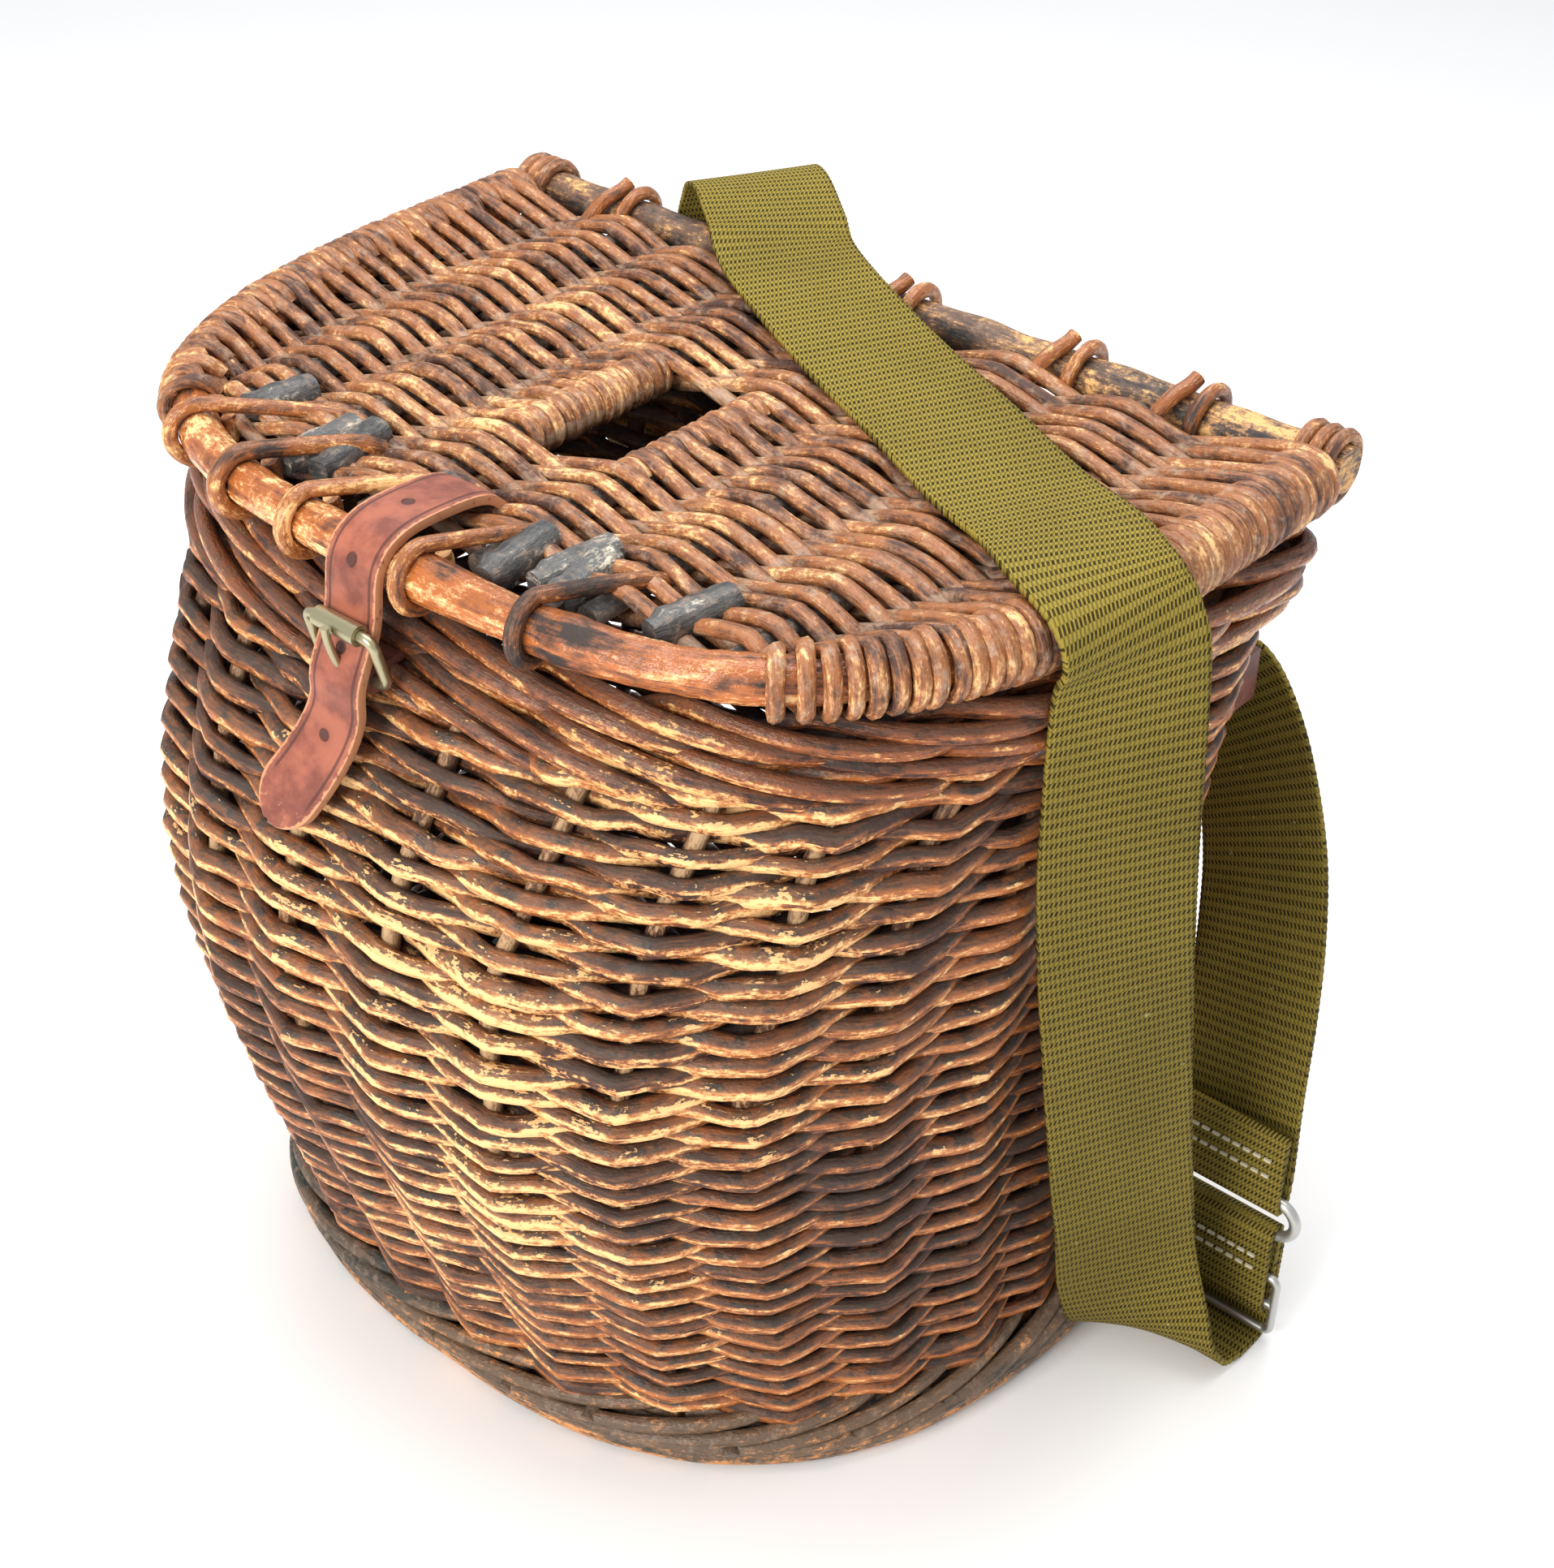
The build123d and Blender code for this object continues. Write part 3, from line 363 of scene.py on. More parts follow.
class Graph:
    """One material's nodes, ending in a Principled shader."""

    apart = 91.7  # how far apart two rods' patterns lie for a random number that differs by 1

    def __init__(self, name: str) -> None:
        """Starts a material with an empty node tree."""
        self.material = bpy.data.materials.new(name)
        self.material.use_nodes = True
        self.tree = self.material.node_tree
        self.tree.nodes.clear()
        self.shader = self.tree.nodes.new("ShaderNodeBsdfPrincipled")
        out = self.tree.nodes.new("ShaderNodeOutputMaterial")
        self.tree.links.new(self.shader.outputs[0], out.inputs[0])

    def plug(self, socket: bpy.types.NodeSocket, value: Any) -> None:
        """Links a signal or socket, or sets a plain value."""
        if isinstance(value, Signal):
            value = value.socket
        if isinstance(value, bpy.types.NodeSocket):
            self.tree.links.new(value, socket)
        elif value is not None:
            socket.default_value = value

    def node(self, kind: str, settings: dict[str, Any], inputs: dict[Any, Any]) -> bpy.types.Node:
        """Makes a node.

        Args:
            kind: the node's type.
            settings: attributes set before anything else.
            inputs: values or links by socket name or number.

        Returns:
            The node.
        """
        made = self.tree.nodes.new(kind)
        for name, value in settings.items():
            setattr(made, name, value)
        for name, value in inputs.items():
            self.plug(made.inputs[name], value)
        return made

    def number(self, kind: str, settings: dict[str, Any], inputs: dict[Any, Any], output: Any = 0) -> Signal:
        """A node whose output is used as a number."""
        return Signal(self, self.node(kind, settings, inputs).outputs[output])

    def math(self, operation: str, first: Any, second: Any = 0.0, clamp: bool = False) -> Signal:
        """A Math node on two numbers or signals."""
        return self.number("ShaderNodeMath", {"operation": operation, "use_clamp": clamp}, {0: first, 1: second})

    def mix(self, share: Any, first: Any, second: Any) -> bpy.types.NodeSocket:
        """Mixes two colours.

        Args:
            share: how much of the second colour.
            first: colour or link.
            second: colour or link.

        Returns:
            The mixed colour's socket.
        """
        first = (*first, 1.0) if isinstance(first, tuple) else first
        second = (*second, 1.0) if isinstance(second, tuple) else second
        settings = {"data_type": "RGBA", "clamp_factor": True}
        return self.node("ShaderNodeMix", settings, {0: share, 6: first, 7: second}).outputs[2]

    def mark(self, name: str) -> Signal:
        """A number kept on the mesh's points."""
        return self.number("ShaderNodeAttribute", {"attribute_name": name}, {}, "Fac")

    def place(self) -> bpy.types.NodeSocket:
        """The point in the creel's own frame."""
        return self.node("ShaderNodeTexCoord", {}, {}).outputs["Object"]

    def spot(self) -> tuple[Signal, Signal]:
        """The UV place in metres: along, and across a strap or round a rod."""
        place = self.node("ShaderNodeUVMap", {"uv_map": "UVMap"}, {}).outputs[0]
        parts = self.node("ShaderNodeSeparateXYZ", {}, {0: place})
        return Signal(self, parts.outputs[0]), Signal(self, parts.outputs[1])

    def along_rod(self, seed: Signal, stretch: tuple[float, float]) -> bpy.types.NodeSocket:
        """UV place scaled along and round a rod, with the rod's own random number as the third coordinate.

        Args:
            seed: the rod's random number.
            stretch: scale along and round.

        Returns:
            A vector socket.
        """
        u, v = self.spot()
        place = {0: u * stretch[0], 1: v * stretch[1], 2: seed * self.apart}
        return self.node("ShaderNodeCombineXYZ", {}, place).outputs[0]

    def noise(self, place: Any, scale: float, detail: float = 3.0, rough: float = 0.6) -> Signal:
        """Fractal noise between 0 and 1."""
        inputs = {"Vector": place, "Scale": scale, "Detail": detail, "Roughness": rough}
        return self.number("ShaderNodeTexNoise", {}, inputs)

    def finish(self, colour: Any, rough: Any, height: Any = None, depth: float = 0.0003, **constants: float) -> None:
        """Connects the shader.

        Args:
            colour: base colour.
            rough: roughness.
            height: bump height, if any.
            depth: how deep the bump is, in metres.
            constants: other shader sockets by name, with _ for spaces.
        """
        self.plug(self.shader.inputs["Base Color"], colour)
        self.plug(self.shader.inputs["Roughness"], rough)
        if height is not None:
            bump = self.node("ShaderNodeBump", {}, {"Height": height, "Strength": 1.0, "Distance": depth})
            self.plug(self.shader.inputs["Normal"], bump.outputs[0])
        for name, value in constants.items():
            self.shader.inputs[name.replace("_", " ")].default_value = value


@dataclass(frozen=True)
class Willow:
    """Varnished willow: painted shade in the recesses and, with grime, on the tops, orange-brown on the rods and worn
    to bare cream where it rubs.
    """

    name: str
    dark: Colour
    warm: Colour
    bare: Colour
    wear: float = 0.0  # added to every rod's wear
    shaded_dirty_top: float = 0.6  # painted shade on the tops, with grey-brown grime
    dust: float = 0.0  # pale dust anywhere
    gloss: float = 0.3
    fine: float = 1.0  # how fine the streaks are
    # colour of the painted shade and grime on the rods' tops
    shaded_dirty_top_colour: Colour = (0.052, 0.036, 0.027)
    dust_colour: Colour = (0.42, 0.29, 0.20)
    grain_depth: float = 0.0007

    def build(self) -> bpy.types.Material:
        """Varnish tone from long streaks, then bare wood by wear, then grime and painted shade on top, dust and painted
        shade in the recesses.
        """
        g = Graph(self.name)
        tone, proud, scuff, upper = g.mark("tone"), g.mark("proud"), g.mark("scuff"), g.mark("upper")
        streak = g.noise(g.along_rod(tone, (70.0 * self.fine, 620.0 * self.fine)), 1.0, 4.0, 0.7) - 0.5
        patch = g.noise(g.along_rod(tone, (150.0 * self.fine, 210.0 * self.fine)), 1.0, 4.0, 0.7) - 0.5
        fleck = g.noise(g.along_rod(tone, (620.0, 900.0)), 1.0, 2.0, 0.6) - 0.5
        wide = g.noise(g.place(), 21.0, 3.0, 0.6) - 0.5
        warmth = 0.36 + streak * 1.5 + patch * 1.6 + (tone - 0.5) * 0.4 + wide * 1.2 + proud * 0.22
        warmth = warmth.ramp(0.12, 0.68)  # 0 is dark varnish and 1 is warm
        varnish = g.mix(warmth, self.dark, self.warm)
        worn = scuff * 0.95 + self.wear + proud * 0.2 + patch * 2.2 + streak * 1.6 + wide * 1.3 + fleck * 1.2
        # tops wear less under the painted shade and grime
        worn = worn + (tone - 0.5) * 0.25 - upper.ramp(0.5, 0.9) * self.shaded_dirty_top * 0.35
        colour = g.mix(worn.ramp(0.52, 0.64), varnish, g.mix(0.36, self.warm, self.bare))  # thin varnish
        colour = g.mix(worn.ramp(0.76, 0.86), colour, self.bare)  # bare wood
        # painted shade with grime: a grey-brown film on the rods' tops, set by the upper mark
        top_shade_film = upper.ramp(0.54, 0.8) * (1 - worn.ramp(0.74, 0.86) * 0.75) * self.shaded_dirty_top
        top_shade_film = top_shade_film * (0.75 + patch * 2.4).limit()
        colour = g.mix(top_shade_film, colour, self.shaded_dirty_top_colour)
        # painted shade: darker in the recesses between rods, where the proud mark is low
        recess_shade = proud.ramp(0.6, 0.1) * 0.88
        colour = g.mix(recess_shade, colour, (self.dark[0] * 0.4, self.dark[1] * 0.4, self.dark[2] * 0.45))
        if self.dust:
            grey = g.noise(g.place(), 240.0, 3.0, 0.7)
            valley = 1 - g.math("ABSOLUTE", proud - 0.5).ramp(0.02, 0.16)
            colour = g.mix((grey + valley * 0.22).ramp(0.5, 0.74) * self.dust, colour, self.dust_colour)
        rough = 0.62 - warmth * (0.62 - self.gloss) + worn.ramp(0.6, 0.8) * 0.25 + top_shade_film * 0.2
        g.finish(colour, rough, streak * 0.9 + fleck * 0.6 + patch * 0.5, self.grain_depth, Specular_IOR_Level=0.5)
        return g.material


@dataclass(frozen=True)
class Leather:
    """Waxed red-brown strap leather with a creased line near each edge, scuffs and punched holes."""

    name: str
    deep: Colour
    rose: Colour
    pale: Colour
    half_width: float
    holes: tuple[float, ...] = ()  # places along the strap
    on_strap: bool = True
    crease_end: float = 0.149  # where along the strap the crease has faded
    crease_inset: float = 0.0021
    crease_colour: Colour = (0.055, 0.02, 0.014)
    # painted shade inside each punched hole
    hole_shade_colour: Colour = (0.012, 0.007, 0.006)

    def build(self) -> bpy.types.Material:
        """Grain and blotches, a crease beside each edge that fades at the tip, pale worn edges and holes painted dark
        as shade.
        """
        g = Graph(self.name)
        grain = g.noise(g.place(), 1400.0, 3.0, 0.6)
        blotch = g.noise(g.place(), 95.0, 4.0, 0.6)
        scuffs = g.noise(g.place(), 420.0, 5.0, 0.75)
        colour = g.mix(blotch.ramp(0.36, 0.66), self.deep, self.rose)
        height = grain * 0.25 + blotch * 0.5
        if self.on_strap:
            along, across = g.spot()
            from_middle = g.math("ABSOLUTE", across)
            crease = g.math("ABSOLUTE", from_middle - (self.half_width - self.crease_inset))
            line = (1 - crease.ramp(0.0001, 0.0005)) * (1 - along.ramp(self.crease_end - 0.006, self.crease_end))
            edge = from_middle.ramp(self.half_width - 0.0016, self.half_width)
            end = along.ramp(self.crease_end - 0.012, self.crease_end + 0.006)
            worn = (edge * 0.5 + end * 0.16 + scuffs * 1.3 - 0.62).ramp(0.28, 0.46)
            colour = g.mix(worn * 0.75, colour, self.pale)
            colour = g.mix(line * 0.72, colour, self.crease_colour)
            height = height - line * 0.9
            for hole in self.holes:
                # painted shade: each punched hole is a near-black disk on the unpierced strap
                away = g.math("SQRT", (along - hole) * (along - hole) + across * across)
                ring = 1 - away.ramp(0.0012, 0.0019)
                colour = g.mix(ring * 0.96, colour, self.hole_shade_colour)
                colour = g.mix((1 - away.ramp(0.0017, 0.0042)) * 0.35, colour, self.deep)
                height = height - ring * 2.0
        else:
            colour = g.mix(scuffs.ramp(0.58, 0.72) * 0.5, colour, self.pale)
        g.finish(colour, 0.5 + (blotch - 0.5) * 0.3, height, 0.0004, Specular_IOR_Level=0.45)
        return g.material


@dataclass(frozen=True)
class Webbing:
    """Olive webbing: rows of short dark ticks that lean, with pale lint, and painted shade that darkens it lower down,
    below the top of the lid.
    """

    name: str
    light: Colour
    shade: Colour
    row: float = 0.0031
    column: float = 0.00128
    lean: float = 0.38  # sideways shift of a tick for each metre along
    bow: float = 30.0  # how far a row runs out of square, in radians for each metre across
    shade_below: tuple[float, float] = (0.20, 0.285)  # heights between which the painted shade lower down gives way to the top
    lint: Colour = (0.6, 0.52, 0.26)

    def build(self) -> bpy.types.Material:
        """Dark ticks by a sine across, sheared along the strap: strong in one half of a row and weak in the other."""
        g = Graph(self.name)
        along, across = g.spot()
        ticks = (across + along * self.lean) * (2 * math.pi / self.column)
        in_row = g.math("SINE", along * (2 * math.pi / self.row) + across * self.bow).ramp(-0.35, 0.35)
        dark = g.math("SINE", ticks).ramp(-0.5, 0.4) * in_row
        dark = dark + g.math("SINE", ticks + math.pi).ramp(0.1, 0.9) * (1 - in_row) * 0.5
        weave = 1 - dark
        fade = g.noise(g.place(), 22.0, 3.0, 0.5)
        yarn = g.noise(g.place(), 900.0, 2.0, 0.6)
        shade = (0.08 + weave * 0.9 + (yarn - 0.5) * 0.5).limit()
        colour = g.mix(shade, self.shade, self.light)
        colour = g.mix(fade.ramp(0.4, 0.7) * 0.18, colour, self.shade)
        # painted shade: darker lower down the drop than where it lies on top of the lid
        high = g.number("ShaderNodeSeparateXYZ", {}, {0: g.place()}, 2)
        colour = g.mix((1 - high.ramp(*self.shade_below)) * 0.26, colour, self.shade)
        lint = g.noise(g.place(), 310.0, 2.0, 0.5).ramp(0.74, 0.78)
        colour = g.mix(lint * 0.3, colour, self.lint)
        g.finish(colour, 0.75, weave + yarn * 0.2, 0.0004, Specular_IOR_Level=0.15)
        return g.material


@dataclass(frozen=True)
class Metal:
    """Old wire or brass: dull metal under patchy tarnish."""

    name: str
    bright: Colour
    tarnish: Colour
    metallic: float = 0.85
    rough: float = 0.38

    def build(self) -> bpy.types.Material:
        """Tarnish and dirt by noise in the creel's frame."""
        g = Graph(self.name)
        cloud = g.noise(g.place(), 330.0, 4.0, 0.65)
        pits = g.noise(g.place(), 1500.0, 2.0, 0.6)
        colour = g.mix(cloud.ramp(0.42, 0.66), self.bright, self.tarnish)
        g.plug(g.shader.inputs["Metallic"], self.metallic - cloud.ramp(0.45, 0.7) * 0.45)
        g.finish(colour, self.rough + cloud * 0.25, cloud * 0.6 + pits * 0.4, 0.00025)
        return g.material


@dataclass(frozen=True)
class Plain:
    """A quiet surface of two near colours, for thread and floor."""

    name: str
    first: Colour
    second: Colour
    scale: float = 600.0
    rough: float = 0.8

    def build(self) -> bpy.types.Material:
        """Two colours mixed by noise."""
        g = Graph(self.name)
        mottle = g.noise(g.place(), self.scale, 3.0, 0.6)
        g.finish(g.mix(mottle, self.first, self.second), self.rough, mottle, 0.0001)
        return g.material


class Finish(Enum):
    """Every finish on the creel."""

    WALL = Willow("wall_willow", (0.055, 0.021, 0.013), (0.50, 0.155, 0.036), (1.0, 0.60, 0.25),
                  wear=-0.06, shaded_dirty_top=1.05)
    UPRIGHT = Willow("upright_willow", (0.10, 0.045, 0.025), (0.46, 0.20, 0.08), (0.85, 0.56, 0.30),
                     wear=0.12, shaded_dirty_top=0.2)
    BAND = Willow("band_willow", (0.034, 0.014, 0.010), (0.33, 0.094, 0.025), (0.95, 0.50, 0.18),
                  wear=-0.16, shaded_dirty_top=0.8, gloss=0.18)
    LID = Willow("lid_willow", (0.070, 0.030, 0.020), (0.39, 0.145, 0.050), (0.92, 0.54, 0.24),
                 wear=-0.13, shaded_dirty_top=0.2, dust=0.65, gloss=0.34)
    ROD = Willow("rod_willow", (0.026, 0.013, 0.010), (0.50, 0.145, 0.034), (1.0, 0.62, 0.28),
                 wear=-0.09, shaded_dirty_top=0.3, gloss=0.12, fine=0.5)
    TIE = Willow("tie_willow", (0.035, 0.020, 0.016), (0.36, 0.120, 0.035), (0.90, 0.50, 0.20),
                 wear=-0.14, shaded_dirty_top=0.2, dust=0.1, gloss=0.2, fine=0.7)
    FOOT = Willow("foot_willow", (0.030, 0.033, 0.027), (0.14, 0.085, 0.050), (0.70, 0.30, 0.10),
                  wear=-0.2, shaded_dirty_top=0.2, dust=0.4, gloss=0.4, fine=0.7)
    BACK = Willow("back_willow", (0.022, 0.021, 0.020), (0.19, 0.100, 0.058), (0.80, 0.44, 0.16),
                  wear=-0.1, shaded_dirty_top=0.2, dust=0.3, gloss=0.36, fine=0.5)
    CUT = Willow("cut_willow", (0.028, 0.029, 0.031), (0.10, 0.098, 0.095), (0.62, 0.55, 0.44),
                 wear=-0.4, shaded_dirty_top=0.0, dust=0.5, gloss=0.45, fine=0.6)
    STRAP = Leather("strap_leather", (0.18, 0.045, 0.028), (0.36, 0.108, 0.062), (0.62, 0.30, 0.15), 0.009,
                    (0.0594, 0.0796, 0.1026, 0.1274))
    LOOP = Leather("loop_leather", (0.12, 0.04, 0.03), (0.24, 0.08, 0.055), (0.45, 0.25, 0.15), 0.007, on_strap=False)
    WEBBING = Webbing("olive_webbing", (0.300, 0.228, 0.040), (0.022, 0.014, 0.001))
    BRASS = Metal("aged_brass", (0.50, 0.43, 0.22), (0.20, 0.18, 0.10), 0.8, 0.36)
    WIRE = Metal("grey_wire", (0.50, 0.50, 0.48), (0.26, 0.26, 0.25), 0.9, 0.34)
    THREAD = Plain("pale_thread", (0.62, 0.58, 0.44), (0.42, 0.38, 0.26))
    FLOOR = Plain("pale_floor", (0.88, 0.88, 0.885), (0.9, 0.9, 0.9), 3.0, 0.9)

    def material(self) -> bpy.types.Material:
        """The finish's material, built once."""
        return bpy.data.materials.get(self.value.name) or self.value.build()


def dress(piece: bpy.types.Object, finish: Finish) -> None:
    """Gives a piece one finish, in place of what it had."""
    piece.data.materials.clear()
    piece.data.materials.append(finish.material())


def finish_piece(bundle: Bundle, finish: Finish, body: str, replaces: Sequence[str] = ()) -> None:
    """Makes a bundle into a piece with its finish, body and the model nodes that it stands for."""
    piece = bundle.make()
    dress(piece, finish)
    settle(piece, body, replaces)


# ------------------------------------------------------------------------------------------------------------- basket


@dataclass(frozen=True)
class BasketShape:
    """The basket's outside, as the model has it: a superellipse D whose sizes change with height."""

    height: float = 0.264
    foot: tuple[float, float, float] = (0.138, 0.088, -0.088)  # half width, back, front
    rim: tuple[float, float, float] = (0.152, 0.119, -0.074)
    belly: float = 0.039
    belly_skew: float = 1.36
    flare: tuple[float, float] = (3.0, 1.4)
    power: tuple[float, float] = (2.5, 3.0)
    corner_depth: float = 0.030
    corner_power: float = 4.0
    wall: float = 0.0135
    stakes: int = 24

    def outline(self, angle: Array, z: Array) -> Array:
        """Point of the outside: x = half |cos|^(2/n), y = corner - depth |sin|^(2/n), squarer behind the corners.

        Args:
            angle: 0 at the right corner, a quarter turn at the front.
            z: heights.

        Returns:
            Points, with the shape of the arguments plus 3.
        """
        angle, z = np.broadcast_arrays(np.asarray(angle, float), np.asarray(z, float))
        t = np.clip(z / self.height, 0, 1.05)
        half = self.foot[0] + (self.rim[0] - self.foot[0]) * t ** self.flare[0]
        back = self.foot[1] + (self.rim[1] - self.foot[1]) * t ** self.flare[1]
        front = self.foot[2] + (self.rim[2] - self.foot[2]) * t - self.belly * np.sin(np.pi * t ** self.belly_skew)
        n = self.power[0] + (self.power[1] - self.power[0]) * t
        corner = back - self.corner_depth
        c, s = np.cos(angle), np.sin(angle)
        n = np.where(s >= 0, n, self.corner_power)
        depth = np.where(s >= 0, corner - front, self.corner_depth)
        x = np.sign(c) * half * np.abs(c) ** (2 / n)
        y = corner - np.sign(s) * depth * np.abs(s) ** (2 / n)
        return np.stack([x, y, z], -1)

    def angle(self, stake: Array) -> Array:
        """Angle at a place counted in stakes, even along the outline at half the height, from the front's middle."""
        angles = np.linspace(0, 4 * np.pi, 16001)
        run = run_length(self.outline(angles, np.full(angles.shape, self.height / 2)))
        round_once, start = run[8000], run[2000]
        target = start + round_once * (np.mod(stake, self.stakes) + 0.5) / self.stakes
        return np.interp(target, run, angles)

    def skin(self, stake: Array, z: Array) -> tuple[Array, Array]:
        """Points of the outside and the directions straight out of it.

        Args:
            stake: places counted in stakes.
            z: heights.

        Returns:
            Points and unit normals.
        """
        step, rise = 0.06, 0.002
        here = self.outline(self.angle(stake), z)
        around = self.outline(self.angle(stake + step), z) - self.outline(self.angle(stake - step), z)
        up = self.outline(self.angle(stake), z + rise) - self.outline(self.angle(stake), z - rise)
        return here, unit(np.cross(up, around))


@dataclass(frozen=True)
class Course:
    """A course of like strands, one at each stake, that each sweep over their neighbours."""

    radius: float
    span: float  # stakes from a strand's start to its end
    route: tuple[tuple[float, float, float], ...]  # share of the span, depth below the skin, height
    start: float = 0.0  # where the first strand starts, in stakes
    wander: float = 0.0006  # random shift of each strand


WALING = Course(0.0025, 2.8, (
    (0.0, -0.0105, 0.2415), (0.12, -0.0040, 0.2425), (0.3, -0.0006, 0.2452), (0.55, -0.0002, 0.2485),
    (0.82, -0.0025, 0.2522), (1.0, -0.0105, 0.2540)))
BORDER = Course(0.0027, 2.9, (
    (0.0, -0.0095, 0.2515), (0.1, -0.0045, 0.2535), (0.28, 0.0005, 0.2555), (0.5, 0.0008, 0.2578),
    (0.72, -0.0015, 0.2605), (0.88, -0.0065, 0.2622), (1.0, -0.0115, 0.2590)), wander=0.0004)
BORDER_CORE = Course(0.0026, 2.2, (
    (0.0, -0.0105, 0.2545), (0.3, -0.0115, 0.2585), (0.7, -0.0105, 0.2585), (1.0, -0.0095, 0.2545)), 0.4, 0.0003)
FOOT = Course(0.0026, 4.3, (
    (0.0, -0.0080, 0.0200), (0.1, -0.0035, 0.0182), (0.3, 0.0004, 0.0150), (0.52, 0.0018, 0.0110),
    (0.76, 0.0008, 0.0075), (0.9, -0.0035, 0.0052), (1.0, -0.0080, 0.0060)), wander=0.0004)
FOOT_CORE = Course(0.0034, 2.0, (
    (0.0, -0.0075, 0.0050), (0.35, -0.0090, 0.0125), (0.7, -0.0090, 0.0125), (1.0, -0.0080, 0.0060)), 0.5, 0.0002)


@dataclass
class Wall:
    """Uprights, randed weavers, waling, rolled border, foot border and base of the basket."""

    shape: BasketShape = field(default_factory=BasketShape)
    rod: float = 0.0043
    stake: float = 0.0052
    samples: int = 12  # along a weaver for each stake
    bottom: float = 0.0165
    top: float = 0.2525
    rows: int = 60
    sway: tuple[float, float] = (0.0008, 0.0005)  # slow and quick wander of a row in height
    upright: tuple[float, float] = (0.012, 0.256)  # heights of its ends
    foot_rods: tuple[tuple[float, float], ...] = ((0.0033, -0.0016), (0.0048, 0.0006))  # height, depth
    foot_end: tuple[float, float] = (-0.006, 0.0036)  # how far a cut end reaches in and out of the foot's skin
    foot_end_level: float = 0.0128
    foot_end_radius: float = 0.0024
    base_level: float = 0.0092
    base_inset: float = 0.0125
    base_sticks: int = 7
    base_spacing: float = 0.032
    base_stick: float = 0.0033  # radius
    base_rod: float = 0.0021  # radius
    base_pitch: float = 0.0043
    base_lift: float = 0.0044  # a base weaver's swing over and under the sticks
    seed: int = 11
    patches: tuple[tuple[float, float, float, float, float], ...] = (
        (0.085, -0.078, 0.238, 0.024, 0.42), (0.117, -0.062, 0.212, 0.024, 0.4), (0.057, -0.112, 0.168, 0.036, 0.45),
        (0.047, -0.110, 0.108, 0.030, 0.36), (0.022, -0.113, 0.195, 0.026, 0.34), (0.0, -0.112, 0.225, 0.03, 0.2),
        (0.100, -0.085, 0.150, 0.045, 0.16), (0.020, -0.105, 0.055, 0.030, 0.2), (-0.06, -0.100, 0.150, 0.05, 0.1),
    )

    def scuff(self, place: Array) -> Array:
        """How worn the wall is: a little everywhere, and more in round patches where it rubbed.

        Each patch adds strength * exp(-(distance / reach)^2).
        """
        worn = np.full(place.shape[:-1], 0.30) + 0.08 * smooth_step(0.0, -0.09, place[..., 1])
        for x, y, z, reach, strength in self.patches:
            away = (place[..., 0] - x) ** 2 + (place[..., 1] - y) ** 2 + (place[..., 2] - z) ** 2
            worn = worn + strength * np.exp(-away / reach**2)
        low = smooth_step(0.055, 0.025, place[..., 2])
        edge = smooth_step(0.010, 0.004, place[..., 2])
        return np.clip(worn - 0.12 * low + 0.42 * edge, 0, 1)

    def levels(self, stake: Array) -> Array:
        """Heights of the rows, evenly spaced along the skin at each place: the skin's length over z is inverted.

        Args:
            stake: places counted in stakes.

        Returns:
            Heights, rows by places.
        """
        z = np.linspace(self.bottom + self.rod / 2, self.top, 120)
        skin = self.shape.outline(self.shape.angle(stake)[None, :], z[:, None])
        run = np.cumsum(np.linalg.norm(np.diff(skin, axis=0), axis=-1), axis=0)
        run = np.vstack([np.zeros(len(stake)), run])
        target = np.linspace(0, 1, self.rows)[:, None] * run[-1]
        above = np.clip((run[None] < target[:, None]).sum(1), 1, len(z) - 1)
        low, high = np.take_along_axis(run, above - 1, 0), np.take_along_axis(run, above, 0)
        return z[above - 1] + (target - low) / (high - low) * (z[1] - z[0])

    def weave(self, bundle: Bundle, part: slice, rng: np.random.Generator) -> None:
        """Adds closed weavers.

        A weaver's middle lies half the wall inside the skin, moved in and out by a triangle wave with a little of a
        cosine in it, which turns at each stake and changes sign from one stake and one row to the next.

        Args:
            bundle: gets the tubes.
            part: which rows.
            rng: seeded random source.
        """
        u = np.arange(self.shape.stakes * self.samples) / self.samples
        wave = np.cos(np.pi * u)
        wave = 0.3 * wave + 0.7 * np.arcsin(np.clip(wave, -1, 1)) * 2 / np.pi
        swing = (self.stake + self.rod) / 2
        for number, z in list(enumerate(self.levels(u)))[part]:
            slow, quick = self.sway
            sway = slow * slow_noise(len(u), 9, rng, True) + quick * slow_noise(len(u), 60, rng, True)
            thick = 1 + 0.13 * smooth_step(0.11, 0.19, z)
            radius = self.rod / 2 * (thick + 0.10 * slow_noise(len(u), 9, rng, True) + rng.normal(0, 0.06))
            skin, out = self.shape.skin(u, z + sway)
            side = wave * (-1) ** number
            depth = -self.shape.wall / 2 + swing * side * (1 + 0.07 * slow_noise(len(u), 30, rng, True))
            path = skin + out * depth[:, None]
            self._rod(bundle, path, radius, skin, out, rng.random(), closed=True, flat=1.1, square=0.8)

    def _rod(self, bundle: Bundle, path: Array, radius: Any, skin: Array, out: Array, tone: float,
             closed: bool = False, sides: int = 8, across: Array = UP, **section: float) -> None:
        """Adds one wall rod, its proud mark being its points' height out of the wall."""
        n = len(path)
        bundle.tube(path, radius, across, sides, closed, **section, tone=tone)
        rows = bundle.points[-1 if closed else -3].reshape(n, sides, 3)
        height = ((rows - skin[:, None]) * out[:, None]).sum(-1)
        bundle.mark_last(np.clip(1 + height / self.shape.wall, 0, 1.1), self.scuff(rows), closed)

